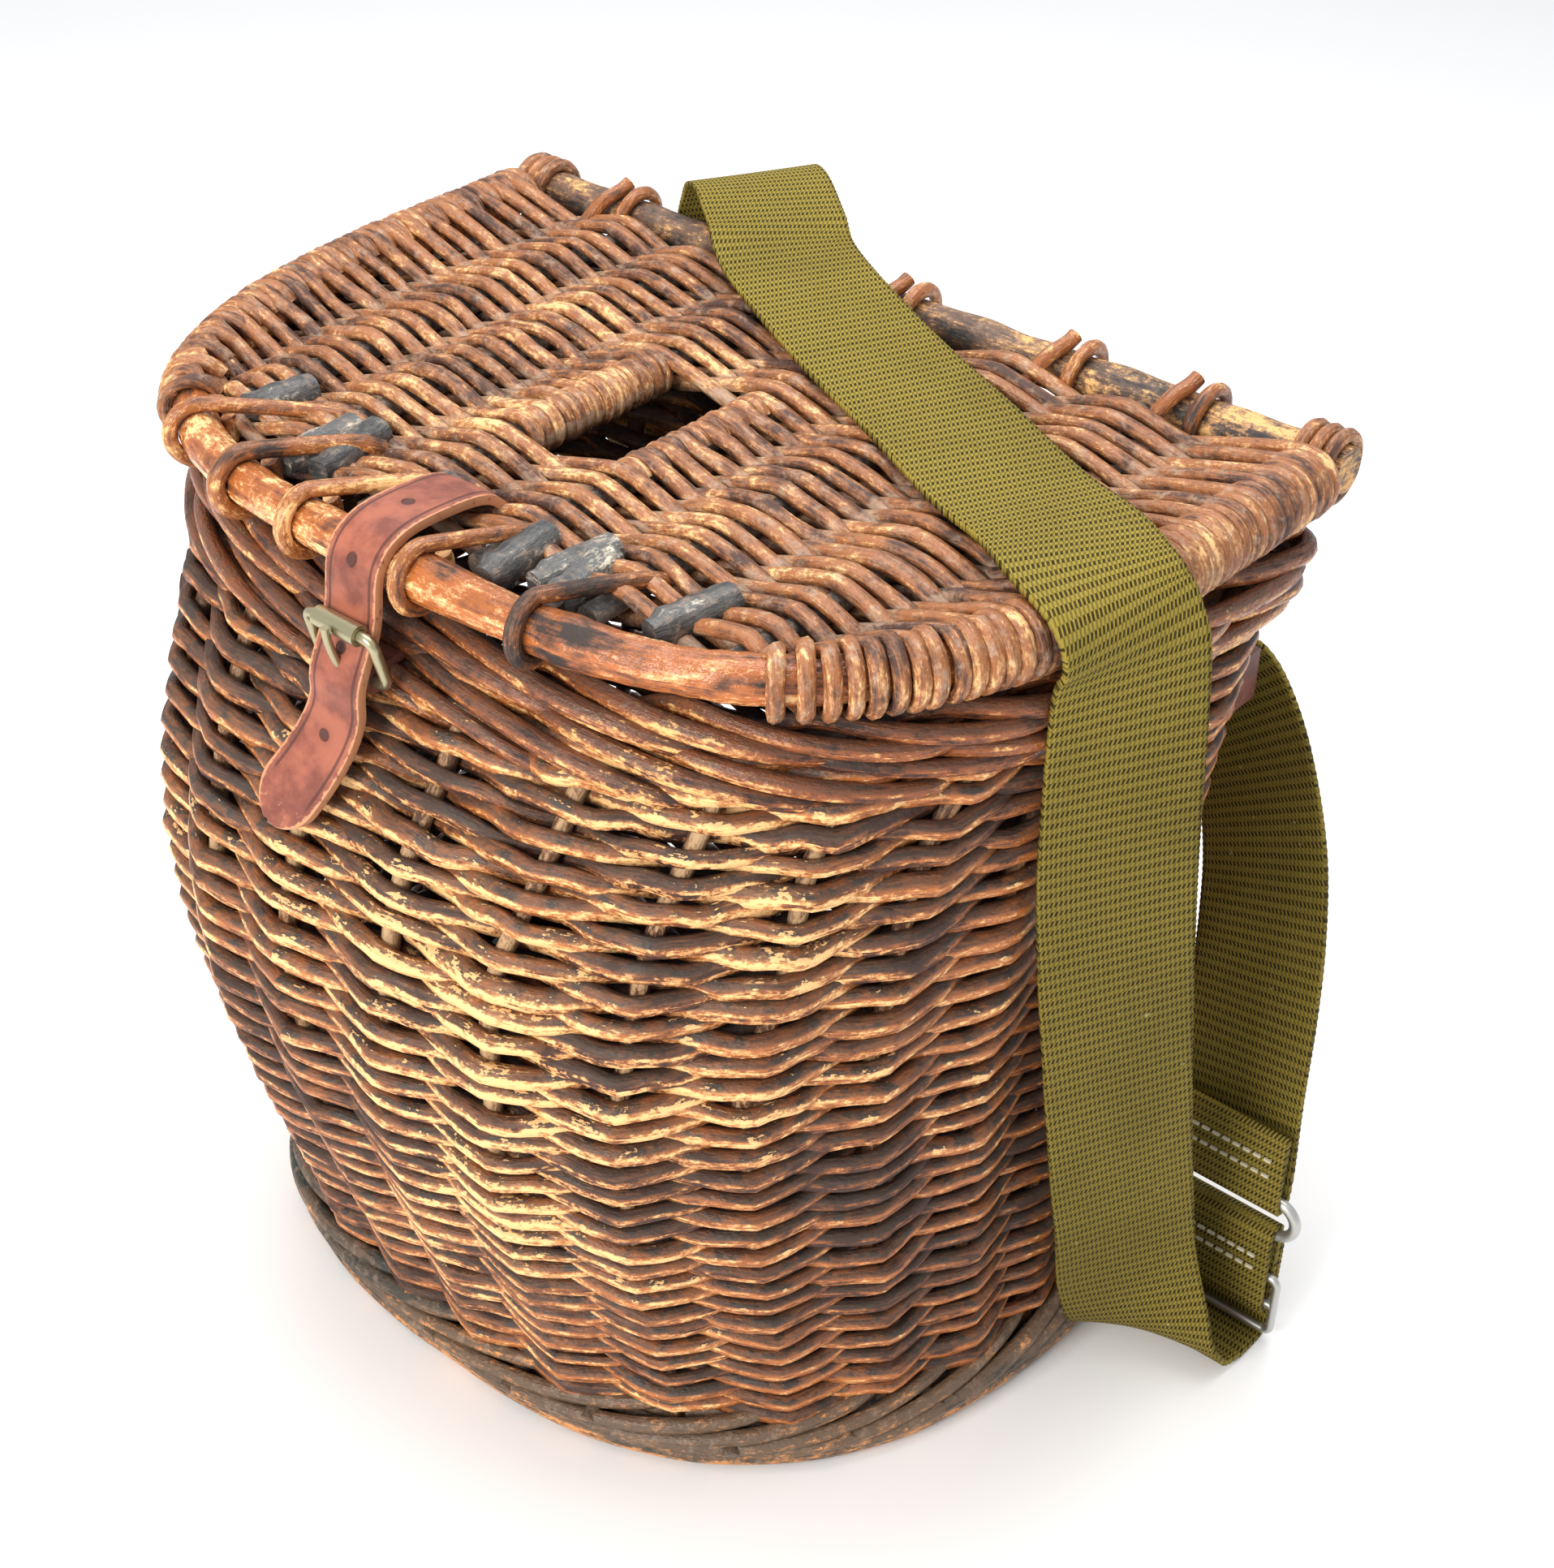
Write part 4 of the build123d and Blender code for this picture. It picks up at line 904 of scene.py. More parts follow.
    def _strands(self, bundle: Bundle, course: Course, rng: np.random.Generator) -> None:
        """Adds a course's strands to a bundle."""
        share = np.linspace(0, 1, 34)
        bend = curve_through(np.array(course.route), 12)
        order = np.argsort(bend[:, 0])
        depth = np.interp(share, bend[order, 0], bend[order, 1])
        height = np.interp(share, bend[order, 0], bend[order, 2])
        for k in range(self.shape.stakes):
            u = course.start + k + course.span * share
            z = height + rng.normal(0, course.wander)
            skin, out = self.shape.skin(u, z)
            path = skin + out * (depth + rng.normal(0, course.wander))[:, None]
            girth = course.radius * (1 + rng.normal(0, 0.06)) * (1 + 0.05 * slow_noise(len(share), 3, rng))
            self._rod(bundle, path, girth, skin, out, rng.random(), sides=10)

    def build(self) -> None:
        """Makes every willow piece of the basket."""
        rng = np.random.default_rng(self.seed)
        half = self.rows // 2
        for name, part, nodes in (("wall_lower", slice(0, half), ("wall_weave",)),
                                  ("wall_upper", slice(half, None), ())):
            bundle = Bundle(name)
            self.weave(bundle, part, rng)
            finish_piece(bundle, Finish.WALL, "basket", nodes)
        self._uprights(rng)
        self._bands(rng)
        self._base(rng)

    def _uprights(self, rng: np.random.Generator) -> None:
        """The wall's uprights: rods on the middle of the wall from the foot to the border."""
        bundle = Bundle("uprights")
        for k in range(self.shape.stakes):
            z = np.linspace(*self.upright, 30)
            u = k + 0.035 * slow_noise(len(z), 4, rng)
            skin, out = self.shape.skin(u, z)
            path = skin - out * self.shape.wall / 2
            around = unit(np.cross(out, UP))
            self._rod(bundle, path, self.stake / 2, skin + out * 0.004, out, rng.random(), across=around)
        finish_piece(bundle, Finish.UPRIGHT, "basket", ("side_stakes",))

    def _bands(self, rng: np.random.Generator) -> None:
        """Waling under the border, the rolled border and the plaited foot with two rods round its bottom."""
        for name, courses, node in (("waling", (WALING,), "waling_band"),
                                    ("rolled_border", (BORDER, BORDER_CORE), "rim_border")):
            bundle = Bundle(name)
            for course in courses:
                self._strands(bundle, course, rng)
            finish_piece(bundle, Finish.BAND, "basket", (node,))
        foot = Bundle("foot_plait")
        for course in (FOOT, FOOT_CORE):
            self._strands(foot, course, rng)
        u = np.arange(self.shape.stakes * self.samples) / self.samples
        for z, depth in self.foot_rods:
            skin, out = self.shape.skin(u, z + 0.0004 * slow_noise(len(u), 24, rng, True))
            path = skin + out * (depth + 0.0004 * slow_noise(len(u), 12, rng, True))[:, None]
            self._rod(foot, path, FOOT.radius, skin, out, rng.random(), closed=True, sides=10)
        self._foot_ends(foot, rng)
        finish_piece(foot, Finish.FOOT, "basket", ("foot_border",))

    def _foot_ends(self, foot: Bundle, rng: np.random.Generator) -> None:
        """Cut ends of the plait: a short stub straight out of the foot beside each upright."""
        for k in range(self.shape.stakes):
            place = np.full(5, k + 0.5 + rng.normal(0, 0.12))
            skin, out = self.shape.skin(place, np.full(5, self.foot_end_level + rng.normal(0, 0.0012)))
            inner, outer = self.foot_end
            depth = np.linspace(inner, outer + rng.normal(0, 0.0005), 5)[:, None]
            path = skin + out * depth - 0.1 * UP * (depth - inner)
            radius = self.foot_end_radius * (1 + rng.normal(0, 0.08))
            self._rod(foot, path, radius, skin, out, rng.random(), sides=10)

    def _base(self, rng: np.random.Generator) -> None:
        """The base: sticks from front to back with weavers across them, cut to the foot's outline."""
        bundle = Bundle("base")
        sticks = (np.arange(self.base_sticks) - self.base_sticks // 2) * self.base_spacing
        skin, out = self.shape.skin(np.linspace(0, self.shape.stakes, 721), np.full(721, 0.009))
        inner = (skin - out * self.base_inset)[:, :2]
        right = inner[inner[:, 0] > 0.004]
        right = right[np.argsort(right[:, 1])]
        rows = np.arange(inner[:, 1].min() + 0.003, inner[:, 1].max() - 0.002, self.base_pitch)
        for number, y in enumerate(rows):
            half = float(np.interp(y, right[:, 1], right[:, 0]))
            x = np.linspace(-half, half, 120)
            wave = np.cos(np.pi * x / self.base_spacing) * (-1) ** number
            path = points_at(x, y, self.base_level + self.base_lift * wave)
            bundle.tube(path, self.base_rod, ALONG_Y, 6, tone=rng.random(), proud=0.55, scuff=0.2)
        for x in sticks:
            near = inner[np.abs(inner[:, 0] - x) < 0.004, 1]
            y = np.linspace(near.min(), near.max(), 24)
            path = points_at(x, y, self.base_level)
            bundle.tube(path, self.base_stick, UP, 8, tone=rng.random(), proud=0.5, scuff=0.2)
        finish_piece(bundle, Finish.ROD, "basket", ("base_weave", "base_sticks"))


# ---------------------------------------------------------------------------------------------------------------- lid


@dataclass
class Lid:
    """Bow, back rod, stakes, weavers that wrap the bow and the fish slot, cut ends, ties and hinge loops."""

    level: float = 0.2747
    half: float = 0.1446  # middle of the bow
    back: float = 0.1105
    front: float = -0.0790
    power: float = 3.32
    bow: float = 0.012
    back_rod: float = 0.013
    hinge_y: float = 0.1171
    stake: float = 0.0064
    rod: float = 0.0038
    pitch: float = 0.00388
    stakes: tuple[float, ...] = (-0.096, -0.064, -0.0249, 0.0149, 0.052, 0.092)
    slot: tuple[float, float] = (-0.012, 0.040)
    weave_front: float = -0.0575
    weave_back: float = 0.1065
    loops: tuple[float, ...] = (-0.103, 0.0084, 0.067, 0.107)
    loop_radius: float = 0.0021
    peg_radius: float = 0.0023
    peg: tuple[tuple[float, float, float], ...] = (  # from the loop's x, the hinge and the loop's top
        (-0.0105, -0.015, -0.010), (-0.0075, -0.008, -0.0025), (-0.0055, -0.001, 0.0), (-0.0048, 0.002, 0.0016))
    back_half: float = 0.1507  # half the back rod's length
    lashing_radius: float = 0.0021
    lashing_x: tuple[float, ...] = (0.1475, 0.1432, 0.1389)
    cut_ends: tuple[tuple[float, float, float], ...] = (  # x, y and lean in degrees
        (-0.0885, -0.052, 12), (-0.0580, -0.061, 4), (-0.0480, -0.058, -6), (-0.0170, -0.066, 8),
        (0.0235, -0.068, -4), (0.0345, -0.062, 10), (0.0445, -0.066, -8), (0.0700, -0.060, 14))
    cut_length: float = 0.024
    cut_radius: float = 0.0045
    ties: tuple[tuple[float, float], ...] = (  # x, and how far the tail leans in x
        (-0.0905, 0.012), (-0.0605, 0.008), (-0.0325, 0.012), (0.0091, 0.010), (0.0464, 0.012))
    tie_radius: float = 0.0022
    seed: int = 5

    def reach(self, y: Array) -> Array:
        """Half width of the bow's middle at y: half (1 - |s|^power)^(1/power)."""
        share = np.clip((self.back - np.asarray(y, float)) / (self.back - self.front), 0, 1)
        return self.half * (1 - share ** self.power) ** (1 / self.power)

    def bow_path(self) -> Array:
        """Middle line of the bow from its right end round the front to its left end."""
        t = np.linspace(0, np.pi, 400)
        c, s = np.cos(t), np.sin(t)
        x = np.sign(c) * self.half * np.abs(c) ** (2 / self.power)
        y = self.back - (self.back - self.front) * np.abs(s) ** (2 / self.power)
        return points_at(x, y, self.level)

    def bow_out(self, x: float, y: float) -> Array:
        """Direction straight out of the bow at one of its points, in the lid's plane."""
        gx = np.sign(x) * (abs(x) / self.half) ** (self.power - 1) / self.half
        depth = self.back - self.front
        gy = -(max(self.back - y, 0) / depth) ** (self.power - 1) / depth
        return unit(np.array([gx, gy, 0.0]))

    def bow_y(self, x: float) -> float:
        """Where the bow's front middle passes x."""
        return self.back - (self.back - self.front) * (1 - (abs(x) / self.half) ** self.power) ** (1 / self.power)

    def row(self, y: float, number: int, left: float | None, right: float | None, rng: np.random.Generator) -> Array:
        """One weaver's middle line.

        Between its ends it waves over and under the stakes as in the wall. An end at the bow (None) or at a slot stake
        (its x) is a turn round that rod: centre + reach * (cos * out + sin * up).

        Args:
            y: the weaver's place.
            number: its row number, which sets where it goes over.
            left: x of the slot stake where it turns at its left, or None for the bow.
            right: the same at its right.
            rng: seeded random source.

        Returns:
            Points of the path, from left to right.
        """
        swing = (self.stake + self.rod) / 2
        bow_x = float(self.reach(y))
        ends = []
        for x, sign in ((left, -1), (right, 1)):
            at_bow = x is None
            centre = sign * bow_x if at_bow else x
            radius = (self.bow if at_bow else self.stake) / 2 + self.rod / 2 + 0.0001
            out = self.bow_out(centre, y) if at_bow else np.array([float(sign), 0, 0])
            ends.append((centre, radius, out))
        inside = [x for x in self.stakes if ends[0][0] + 0.004 < x < ends[1][0] - 0.004]
        supports = np.array([ends[0][0], *inside, ends[1][0]])
        first = self.stakes.index(inside[0]) if inside else 0
        signs = np.array([(-1) ** (number + first + k) for k in range(-1, len(inside) + 1)], float)
        lift = np.full(len(supports), swing)
        lift[0], lift[-1] = ends[0][1], ends[1][1]
        heights = signs * lift
        x = np.linspace(supports[0], supports[-1], int((supports[-1] - supports[0]) / 0.0032) + 2)
        piece = np.clip(np.searchsorted(supports, x, side="right") - 1, 0, len(supports) - 2)
        t = (x - supports[piece]) / (supports[piece + 1] - supports[piece])
        wave = 0.45 * np.cos(np.pi * t) + 0.55 * (1 - 2 * t)
        z = heights[piece] * (1 + wave) / 2 + heights[piece + 1] * (1 - wave) / 2
        drift = 0.0007 * slow_noise(len(x), 5, rng)
        body = points_at(x, y + drift, self.level + z + 0.0003 * slow_noise(len(x), 9, rng))[1:-1]
        turns = []
        for (centre, radius, out), sign in zip(ends, (signs[0], signs[-1])):
            angle = np.radians(np.linspace(92, -150, 16)) * sign
            turns.append(arc(np.array([centre, y, self.level]), radius, out, angle))
        return np.vstack([turns[0][::-1], body, turns[1]])

    def build(self) -> None:
        """Makes every willow piece of the lid."""
        rng = np.random.default_rng(self.seed)
        self._weave(rng)
        self._rods(rng)
        self._front(rng)
        self._loops(rng)

    def _mark(self, bundle: Bundle, sides: int, n: int) -> None:
        """Sets the last tube's marks: proud by height above the lid's middle or outside the bow, scuff by place."""
        rows = bundle.points[-3].reshape(n, sides, 3)
        up = (rows[..., 2] - self.level) / 0.0085
        beyond = (np.abs(rows[..., 0]) - self.reach(rows[..., 1]) + 0.001) / 0.007
        proud = np.clip(0.5 + 0.5 * np.maximum(up, beyond), 0, 1)
        centre = np.exp(-(((rows[..., 0] + 0.02) / 0.11) ** 2 + ((rows[..., 1] - 0.02) / 0.09) ** 2))
        scuff = np.clip(0.25 + 0.25 * centre + 0.14 * smooth_step(0.0, 0.8, beyond), 0, 1)
        bundle.mark_last(proud, scuff)

    def _weave(self, rng: np.random.Generator) -> None:
        """The woven panel, its rows turned back at the fish slot."""
        bundle = Bundle("lid_panel")
        rows = np.arange(self.weave_front, self.weave_back, self.pitch)
        for number, y in enumerate(rows):
            cut = self.slot[0] < y < self.slot[1]
            runs = [(None, self.stakes[2]), (self.stakes[3], None)] if cut else [(None, None)]
            for left, right in runs:
                path = self.row(float(y) + rng.normal(0, 0.0002), number, left, right, rng)
                radius = self.rod / 2 * (1 + rng.normal(0, 0.05) + 0.06 * slow_noise(len(path), 5, rng))
                bundle.tube(path, radius, ALONG_Y, 8, flat=1.2, square=0.85, tone=rng.random())
                self._mark(bundle, 8, len(path))
        finish_piece(bundle, Finish.LID, "lid", (
            "lid_weave", "side_wrap_left", "side_wrap_right", "slot_wrap_left", "slot_wrap_right"))

    def _rods(self, rng: np.random.Generator) -> None:
        """Bow, back rod with its lashings, and the stakes."""
        bow = Bundle("bow")
        path = self.bow_path()
        path = path[path[:, 1] < 0.1055]
        n = len(path)
        radius = self.bow / 2 * (1 + 0.035 * slow_noise(n, 22, rng) + 0.02 * slow_noise(n, 60, rng))
        left = smooth_step(0.03, -0.03, path[:, 0])
        bow.tube(path, radius, UP, 18, tone=0.55, proud=0.85, scuff=0.36 + 0.10 * left)
        finish_piece(bow, Finish.ROD, "lid", ("lid_bow_rod",))

        back = Bundle("back_rod")
        x = np.linspace(-self.back_half, self.back_half, 120)
        sag = 0.0003 * slow_noise(len(x), 6, rng)
        path = points_at(x, self.hinge_y + sag, self.level)
        radius = self.back_rod / 2 * (1 + 0.03 * slow_noise(len(x), 14, rng))
        right = smooth_step(0.04, 0.12, path[:, 0])
        back.tube(path, radius, UP, 16, tone=0.3, proud=0.8, scuff=0.42 + 0.28 * right)
        finish_piece(back, Finish.BACK, "lid", ("lid_back_rod",))

        stakes = Bundle("lid_sticks")
        for x in self.stakes:
            near = -0.0665 if abs(x) < 0.06 else -0.0585
            y = np.linspace(near, 0.1095, 40)
            path = points_at(x + 0.0006 * slow_noise(len(y), 3, rng), y, self.level)
            stakes.tube(path, self.stake / 2, UP, 10, tone=rng.random(), proud=0.6, scuff=0.2)
        finish_piece(stakes, Finish.CUT, "lid", ("lid_stakes",))

        lashing = Bundle("corner_lashings")
        for sign in (-1, 1):
            for x in self.lashing_x:
                ring = self._back_ring(sign * x, self.lashing_radius + 0.0001, 28)
                lashing.tube(ring, self.lashing_radius, ALONG_X, 8, True, tone=rng.random(), proud=0.8, scuff=0.4)
        finish_piece(lashing, Finish.LID, "lid", ("corner_lashing_left", "corner_lashing_right"))

    def _back_ring(self, x: float, off: float, count: int, slant: float = 0.0) -> Array:
        """Ring round the back rod, with slant * sin added to its x.

        Args:
            x: its place along the rod.
            off: distance of the ring's middle line from the rod.
            count: its points.
            slant: how far it leans along the rod.

        Returns:
            The ring's middle line.
        """
        turn = np.linspace(0, 2 * np.pi, count, endpoint=False)
        middle = np.array([x, self.hinge_y, self.level])
        return arc(middle, self.back_rod / 2 + off, ALONG_Y, turn) + slant * np.sin(turn)[:, None] * ALONG_X

    def _front(self, rng: np.random.Generator) -> None:
        """The open strip behind the bow: cut stake ends in pairs, and withy ties from the weave round the bow."""
        ends = Bundle("cut_ends")
        t = np.linspace(0, 1, 12)
        for x, y, lean in self.cut_ends:
            swing, run = math.radians(lean), self.cut_length * t
            path = points_at(x + math.sin(swing) * run, y + math.cos(swing) * run - 0.004,
                             self.level + 0.0018 + 0.001 * t)
            radius = self.cut_radius * (1 + 0.06 * slow_noise(12, 3, rng)) * np.sqrt(np.clip(t * 6, 0.55, 1))
            ends.tube(path, radius, UP, 12, square=0.8, tone=rng.random(), proud=0.85, scuff=0.5)
        finish_piece(ends, Finish.CUT, "lid")

        ties = Bundle("bow_ties")
        reach = self.bow / 2 + 0.0023
        for x, slant in self.ties:
            y = self.bow_y(x)
            out = self.bow_out(x, y)
            turn = np.radians(np.linspace(-205, 96, 26))
            middle = np.array([x, y, self.level])
            ring = arc(middle, reach, out, turn)
            inside = middle - out * 0.026
            tail = curve_through(np.array([
                ring[-1], ring[-1] - out * 0.006 + (slant * 0.25, 0, -0.0005),
                inside + (slant, 0, 0.0052), inside - out * 0.008 + (slant * 1.2, 0, 0.0015)]), 8)
            path = np.vstack([ring, tail[1:]])
            radius = self.tie_radius * (1 + rng.normal(0, 0.07))
            ties.tube(path, radius, np.array([-out[1], out[0], 0.0]), 9, tone=rng.random(), proud=0.9, scuff=0.4)
        finish_piece(ties, Finish.TIE, "lid", ("front_ties",))

    def _loops(self, rng: np.random.Generator) -> None:
        """Withy loops round the back rod, each with a knotted peg end that stands up."""
        for number, x in enumerate(self.loops):
            bundle = Bundle(f"hinge_withy_{number + 1}")
            off = 0.0025
            radius = self.loop_radius * (1 + 0.08 * slow_noise(40, 4, rng, True))
            ring = self._back_ring(x, off, 40, 0.0012)
            bundle.tube(ring, radius, ALONG_X, 10, True, tone=rng.random(), proud=0.8, scuff=0.35)
            start = np.array([x, self.hinge_y, self.level + self.back_rod / 2 + off])
            peg = curve_through(start + np.array(self.peg), 7)
            bundle.tube(peg, self.peg_radius, np.array([1.0, 0, 0.2]), 10, tone=rng.random(), proud=0.9, scuff=0.25)
            finish_piece(bundle, Finish.TIE, "basket", (f"hinge_loop_{number + 1}",))


# -------------------------------------------------------------------------------------------------------------- straps


@dataclass
class Route:
    """A flat strip's middle line with the direction of its width at each point."""

    points: Array
    widths: Array

    @staticmethod
    def through(stations: Sequence[tuple[tuple[float, ...], tuple[float, ...]]], steps: int) -> "Route":
        """Smooth route through stations in millimetres, each a point and a width direction."""
        rows = np.array([(*point, *unit(np.array(width, float))) for point, width in stations])
        curve = curve_through(rows, steps)
        return Route(curve[:, :3] * MM, unit(curve[:, 3:]))

    @staticmethod
    def straight(*stations: tuple[float, float, float]) -> "Route":
        """Straight route through stations in millimetres, with its width along X."""
        return Route(np.array(stations) * MM, np.tile(ALONG_X, (len(stations), 1)))

    @staticmethod
    def turn(middle: tuple[float, float, float], radius: float, start: float, sweep: float, steps: int) -> "Route":
        """Arc in the YZ plane in millimetres and degrees, 0 towards +Y and 90 up, with its width along X."""
        angle = np.radians(np.linspace(start, start + sweep, steps + 1))
        points = arc(np.array(middle), radius, ALONG_Y, angle)
        return Route(points * MM, np.broadcast_to(ALONG_X, points.shape))

    def then(self, other: "Route") -> "Route":
        """This route run on into another."""
        return Route(np.vstack([self.points, other.points]), np.vstack([self.widths, other.widths]))

    def even(self, spacing: float) -> "Route":
        """The same route with even steps."""
        run = run_length(self.points)
        keep = np.concatenate([[True], np.diff(run) > 1e-7])
        both = np.hstack([self.points, self.widths])[keep]
        run = run[keep]
        target = np.linspace(0, run[-1], max(int(round(run[-1] / spacing)), 2) + 1)
        both = np.stack([np.interp(target, run, column) for column in both.T], axis=1)
        return Route(both[:, :3], unit(both[:, 3:]))

    def length(self) -> float:
        """Length of the middle line."""
        return float(run_length(self.points)[-1])

    def grid(self, width: Array, columns: int, start: float = 0.0, crown: float = 0.0) -> tuple[Array, Array]:
        """Points and UV places of the strip: middle + share of the width * width direction + crown * normal.

        Args:
            width: one width, or one for each point.
            columns: points across.
            start: length at the first point, for the UV map.
            crown: how far the middle stands out of the edges.

        Returns:
            The grid of points and the grid of UV places, in metres along and across.
        """
        ahead = unit(np.gradient(self.points, axis=0))
        side = unit(self.widths - ahead * (self.widths * ahead).sum(-1, keepdims=True))
        normal = np.cross(ahead, side)
        share = np.linspace(-0.5, 0.5, columns)
        across = share[None, :] * np.broadcast_to(width, len(self.points))[:, None]
        bulge = crown * (1 - (2 * share) ** 2)
        grid = self.points[:, None] + across[..., None] * side[:, None] + bulge[None, :, None] * normal[:, None]
        run = run_length(self.points) + start
        return grid, points_at(run[:, None], across)


def strip(name: str, grid: Array, spots: Array, thickness: float, finish: Finish) -> bpy.types.Object:
    """A sheet of a thickness, its middle on the grid.

    Args:
        name: the piece's name.
        grid: its points.
        spots: their UV places.
        thickness: of the sheet.
        finish: its finish.

    Returns:
        The object.
    """
    bundle = Bundle(name)
    bundle.sheet(grid, spots)
    piece = bundle.make()
    solid = piece.modifiers.new("thickness", "SOLIDIFY")
    solid.thickness = thickness
    solid.offset = 0.0
    dress(piece, finish)
    return piece


@dataclass
class ShoulderStrap:
    """The webbing: a long piece over the lid, its bend at the floor, the doubled tab and the rear piece."""

    width: float = 0.042
    thickness: float = 0.0018
    spacing: float = 0.0011
    columns: int = 25
    notch: float = 0.00022  # how far the picks stand out of the edges
    ring: tuple[float, float, float] = (164.5, 80.0, 45.0)  # middle of its lower bar, in millimetres as what follows
    ring_rise: float = 13.0  # from its lower bar to its upper bar
    slider: float = 16.0  # height of its middle bar
    bridge_x: tuple[float, float] = (-94.0, 107.2)
    bridge_y: float = 115.672
    bridge_radius: float = 2.8  # of the webbing's middle round a back loop
    arc_steps: int = 14

    def _cloth(self, name: str, route: Route, nodes: Sequence[str],
               start: float = 0.0) -> bpy.types.Object:
        """One length of webbing with a ribbed edge, built as a sheet."""
        route = route.even(self.spacing)
        n = len(route.points)
        notch = self.notch * np.where(np.arange(n) % 2 == 0, 1.0, -1.0)
        grid, spots = route.grid(self.width + notch, self.columns, start)
        piece = strip(name, grid, spots, self.thickness, Finish.WEBBING)
        stand_for(piece, nodes)
        route.length()
        return piece

    def build(self) -> None:
        """Makes the four lengths of webbing and dresses the stitching."""
        self._long_piece()
        self._tab()
        self._rear()
        for node in ("tab_stitching", "rear_stitching"):
            dress(bpy.data.objects[node], Finish.THREAD)

    def _long_piece(self) -> None:
        """From the back loop over the crest and the lid, down the side to the floor and up behind the slider."""
        across, lead = (1.0, 0, 0), (0.476, 0.88, 0)
        x, radius, steps = self.bridge_x[0], self.bridge_radius, self.arc_steps
        inner, outer = self.bridge_y - radius, self.bridge_y + radius
        hem = Route.straight((x, inner, 216.0), (x, inner, 205.0)).then(
            Route.turn((x, self.bridge_y, 197.0), radius, 180, 180, steps))
        back = [
            ((x, outer, 199), across), ((x, outer, 213), across), ((x + 1, outer + 5, 228), across),
            ((-90, 133, 242), (0.97, 0.25, 0)), ((-88, 142, 255), (0.8, 0.6, 0)), ((-86, 146, 268), (0.58, 0.81, 0)),
            ((-83.5, 145.5, 280), (0.48, 0.88, 0)), ((-76, 140.5, 289.5), lead), ((-63, 131, 293), lead),
            ((-45, 116.5, 291), lead), ((-27, 102.5, 287), lead), ((20, 77.3, 284), lead),
        ]
        front = [
            ((62, 57.1, 283), lead), ((98, 37.6, 283.5), lead), ((122, 25, 286.5), lead),
            ((138, 14.5, 287.5), (0.38, 0.92, 0)), ((149.5, 10, 284.6), (0.25, 0.97, 0)),
            ((155.2, 9.5, 275), (0.28, 0.96, 0)), ((155.3, 10.5, 259), (0.48, 0.88, 0)),
            ((156.5, 12.5, 200), (0.60, 0.80, 0)), ((157.5, 23, 130), (0.57, 0.82, 0)),
            ((158, 35.5, 67), (0.57, 0.82, 0)), ((158.6, 41, 40), (0.68, 0.73, -0.08)),
            ((161.5, 48, 17), (0.86, 0.5, -0.12)), ((163.3, 59, 5.2), (0.96, 0.25, -0.05)),
            ((164.5, 70, 1.6), (1, 0.04, 0)),
        ]
        whole = Route.through(back + front, steps)
        split = (len(back) - 1) * steps + 1
        first = hem.then(Route(whole.points[:split], whole.widths[:split]))
        second = Route(whole.points[split - 1 :], whole.widths[split - 1 :])
        x, y, _ = self.ring
        second = second.then(Route.turn((x, y, 3.6), 2.6, -90, 60, 6))
        second = second.then(Route.straight((x, y + 5.4, 12), (x, y + 5.4, 41)))
        piece = self._cloth("strap_over_crest", first, ("strap_long",))
        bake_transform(piece)
        piece = self._cloth("strap_over_lid", second, ("strap_bend",), first.length())
        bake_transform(piece)

    def _tab(self) -> None:
        """Webbing doubled round the slider's middle bar and the ring's lower bar."""
        x, y, low_bar = self.ring
        reach_low, reach_high = 1.3 + 0.3 + 0.9, 1.8 + 0.3 + 0.9  # wire, gap and half the webbing
        belt = Route.turn((x, y, self.slider), reach_low, 180, 180, self.arc_steps).then(
            Route.turn((x, y, low_bar), reach_high, 0, 180, self.arc_steps))
        closing = Route(belt.points[:1], belt.widths[:1])
        piece = self._cloth("strap_loop", belt.then(closing), ("strap_tab",))
        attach(piece, "basket")

    def _rear(self) -> None:
        """From the ring's upper bar round the corner of the basket to the right back loop."""
        across, steps = (1.0, 0, 0), self.arc_steps
        x, y, low_bar = self.ring
        upper = low_bar + self.ring_rise
        around = 3.1
        tail = Route.straight((x, y - around, upper + 28), (x, y - around, upper + 3))
        hem = Route.turn((x, y, upper), around, 180, 180, steps)
        end_x, end_y, radius = self.bridge_x[1], self.bridge_y, self.bridge_radius
        stations = [
            ((x, y + around, upper + 2), across), ((x, y + around, upper + 8), across),
            ((161.5, 88, 88), (1, 0, 0.1)), ((158, 95.5, 112), (0.98, 0, 0.2)), ((153.5, 103, 132), (0.95, 0, 0.3)),
            ((146, 112, 152), (0.9, 0, 0.44)), ((134, 121, 172), (0.8, 0, 0.6)), ((121, 125.5, 188), (0.86, 0, 0.5)),
            ((111, 124.5, 198), (0.96, 0, 0.25)), ((end_x, end_y + radius + 0.6, 208), across),
            ((end_x, end_y + radius, 212.5), across),
        ]
        over = Route.turn((end_x, end_y, 213), radius, 0, 180, steps)
        inner = Route.straight((end_x, end_y - radius, 205), (end_x, end_y - radius, 190))
        whole = tail.then(hem).then(Route.through(stations, steps)).then(over).then(inner)
        piece = self._cloth("strap_behind", whole, ("strap_rear",))
        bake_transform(piece)


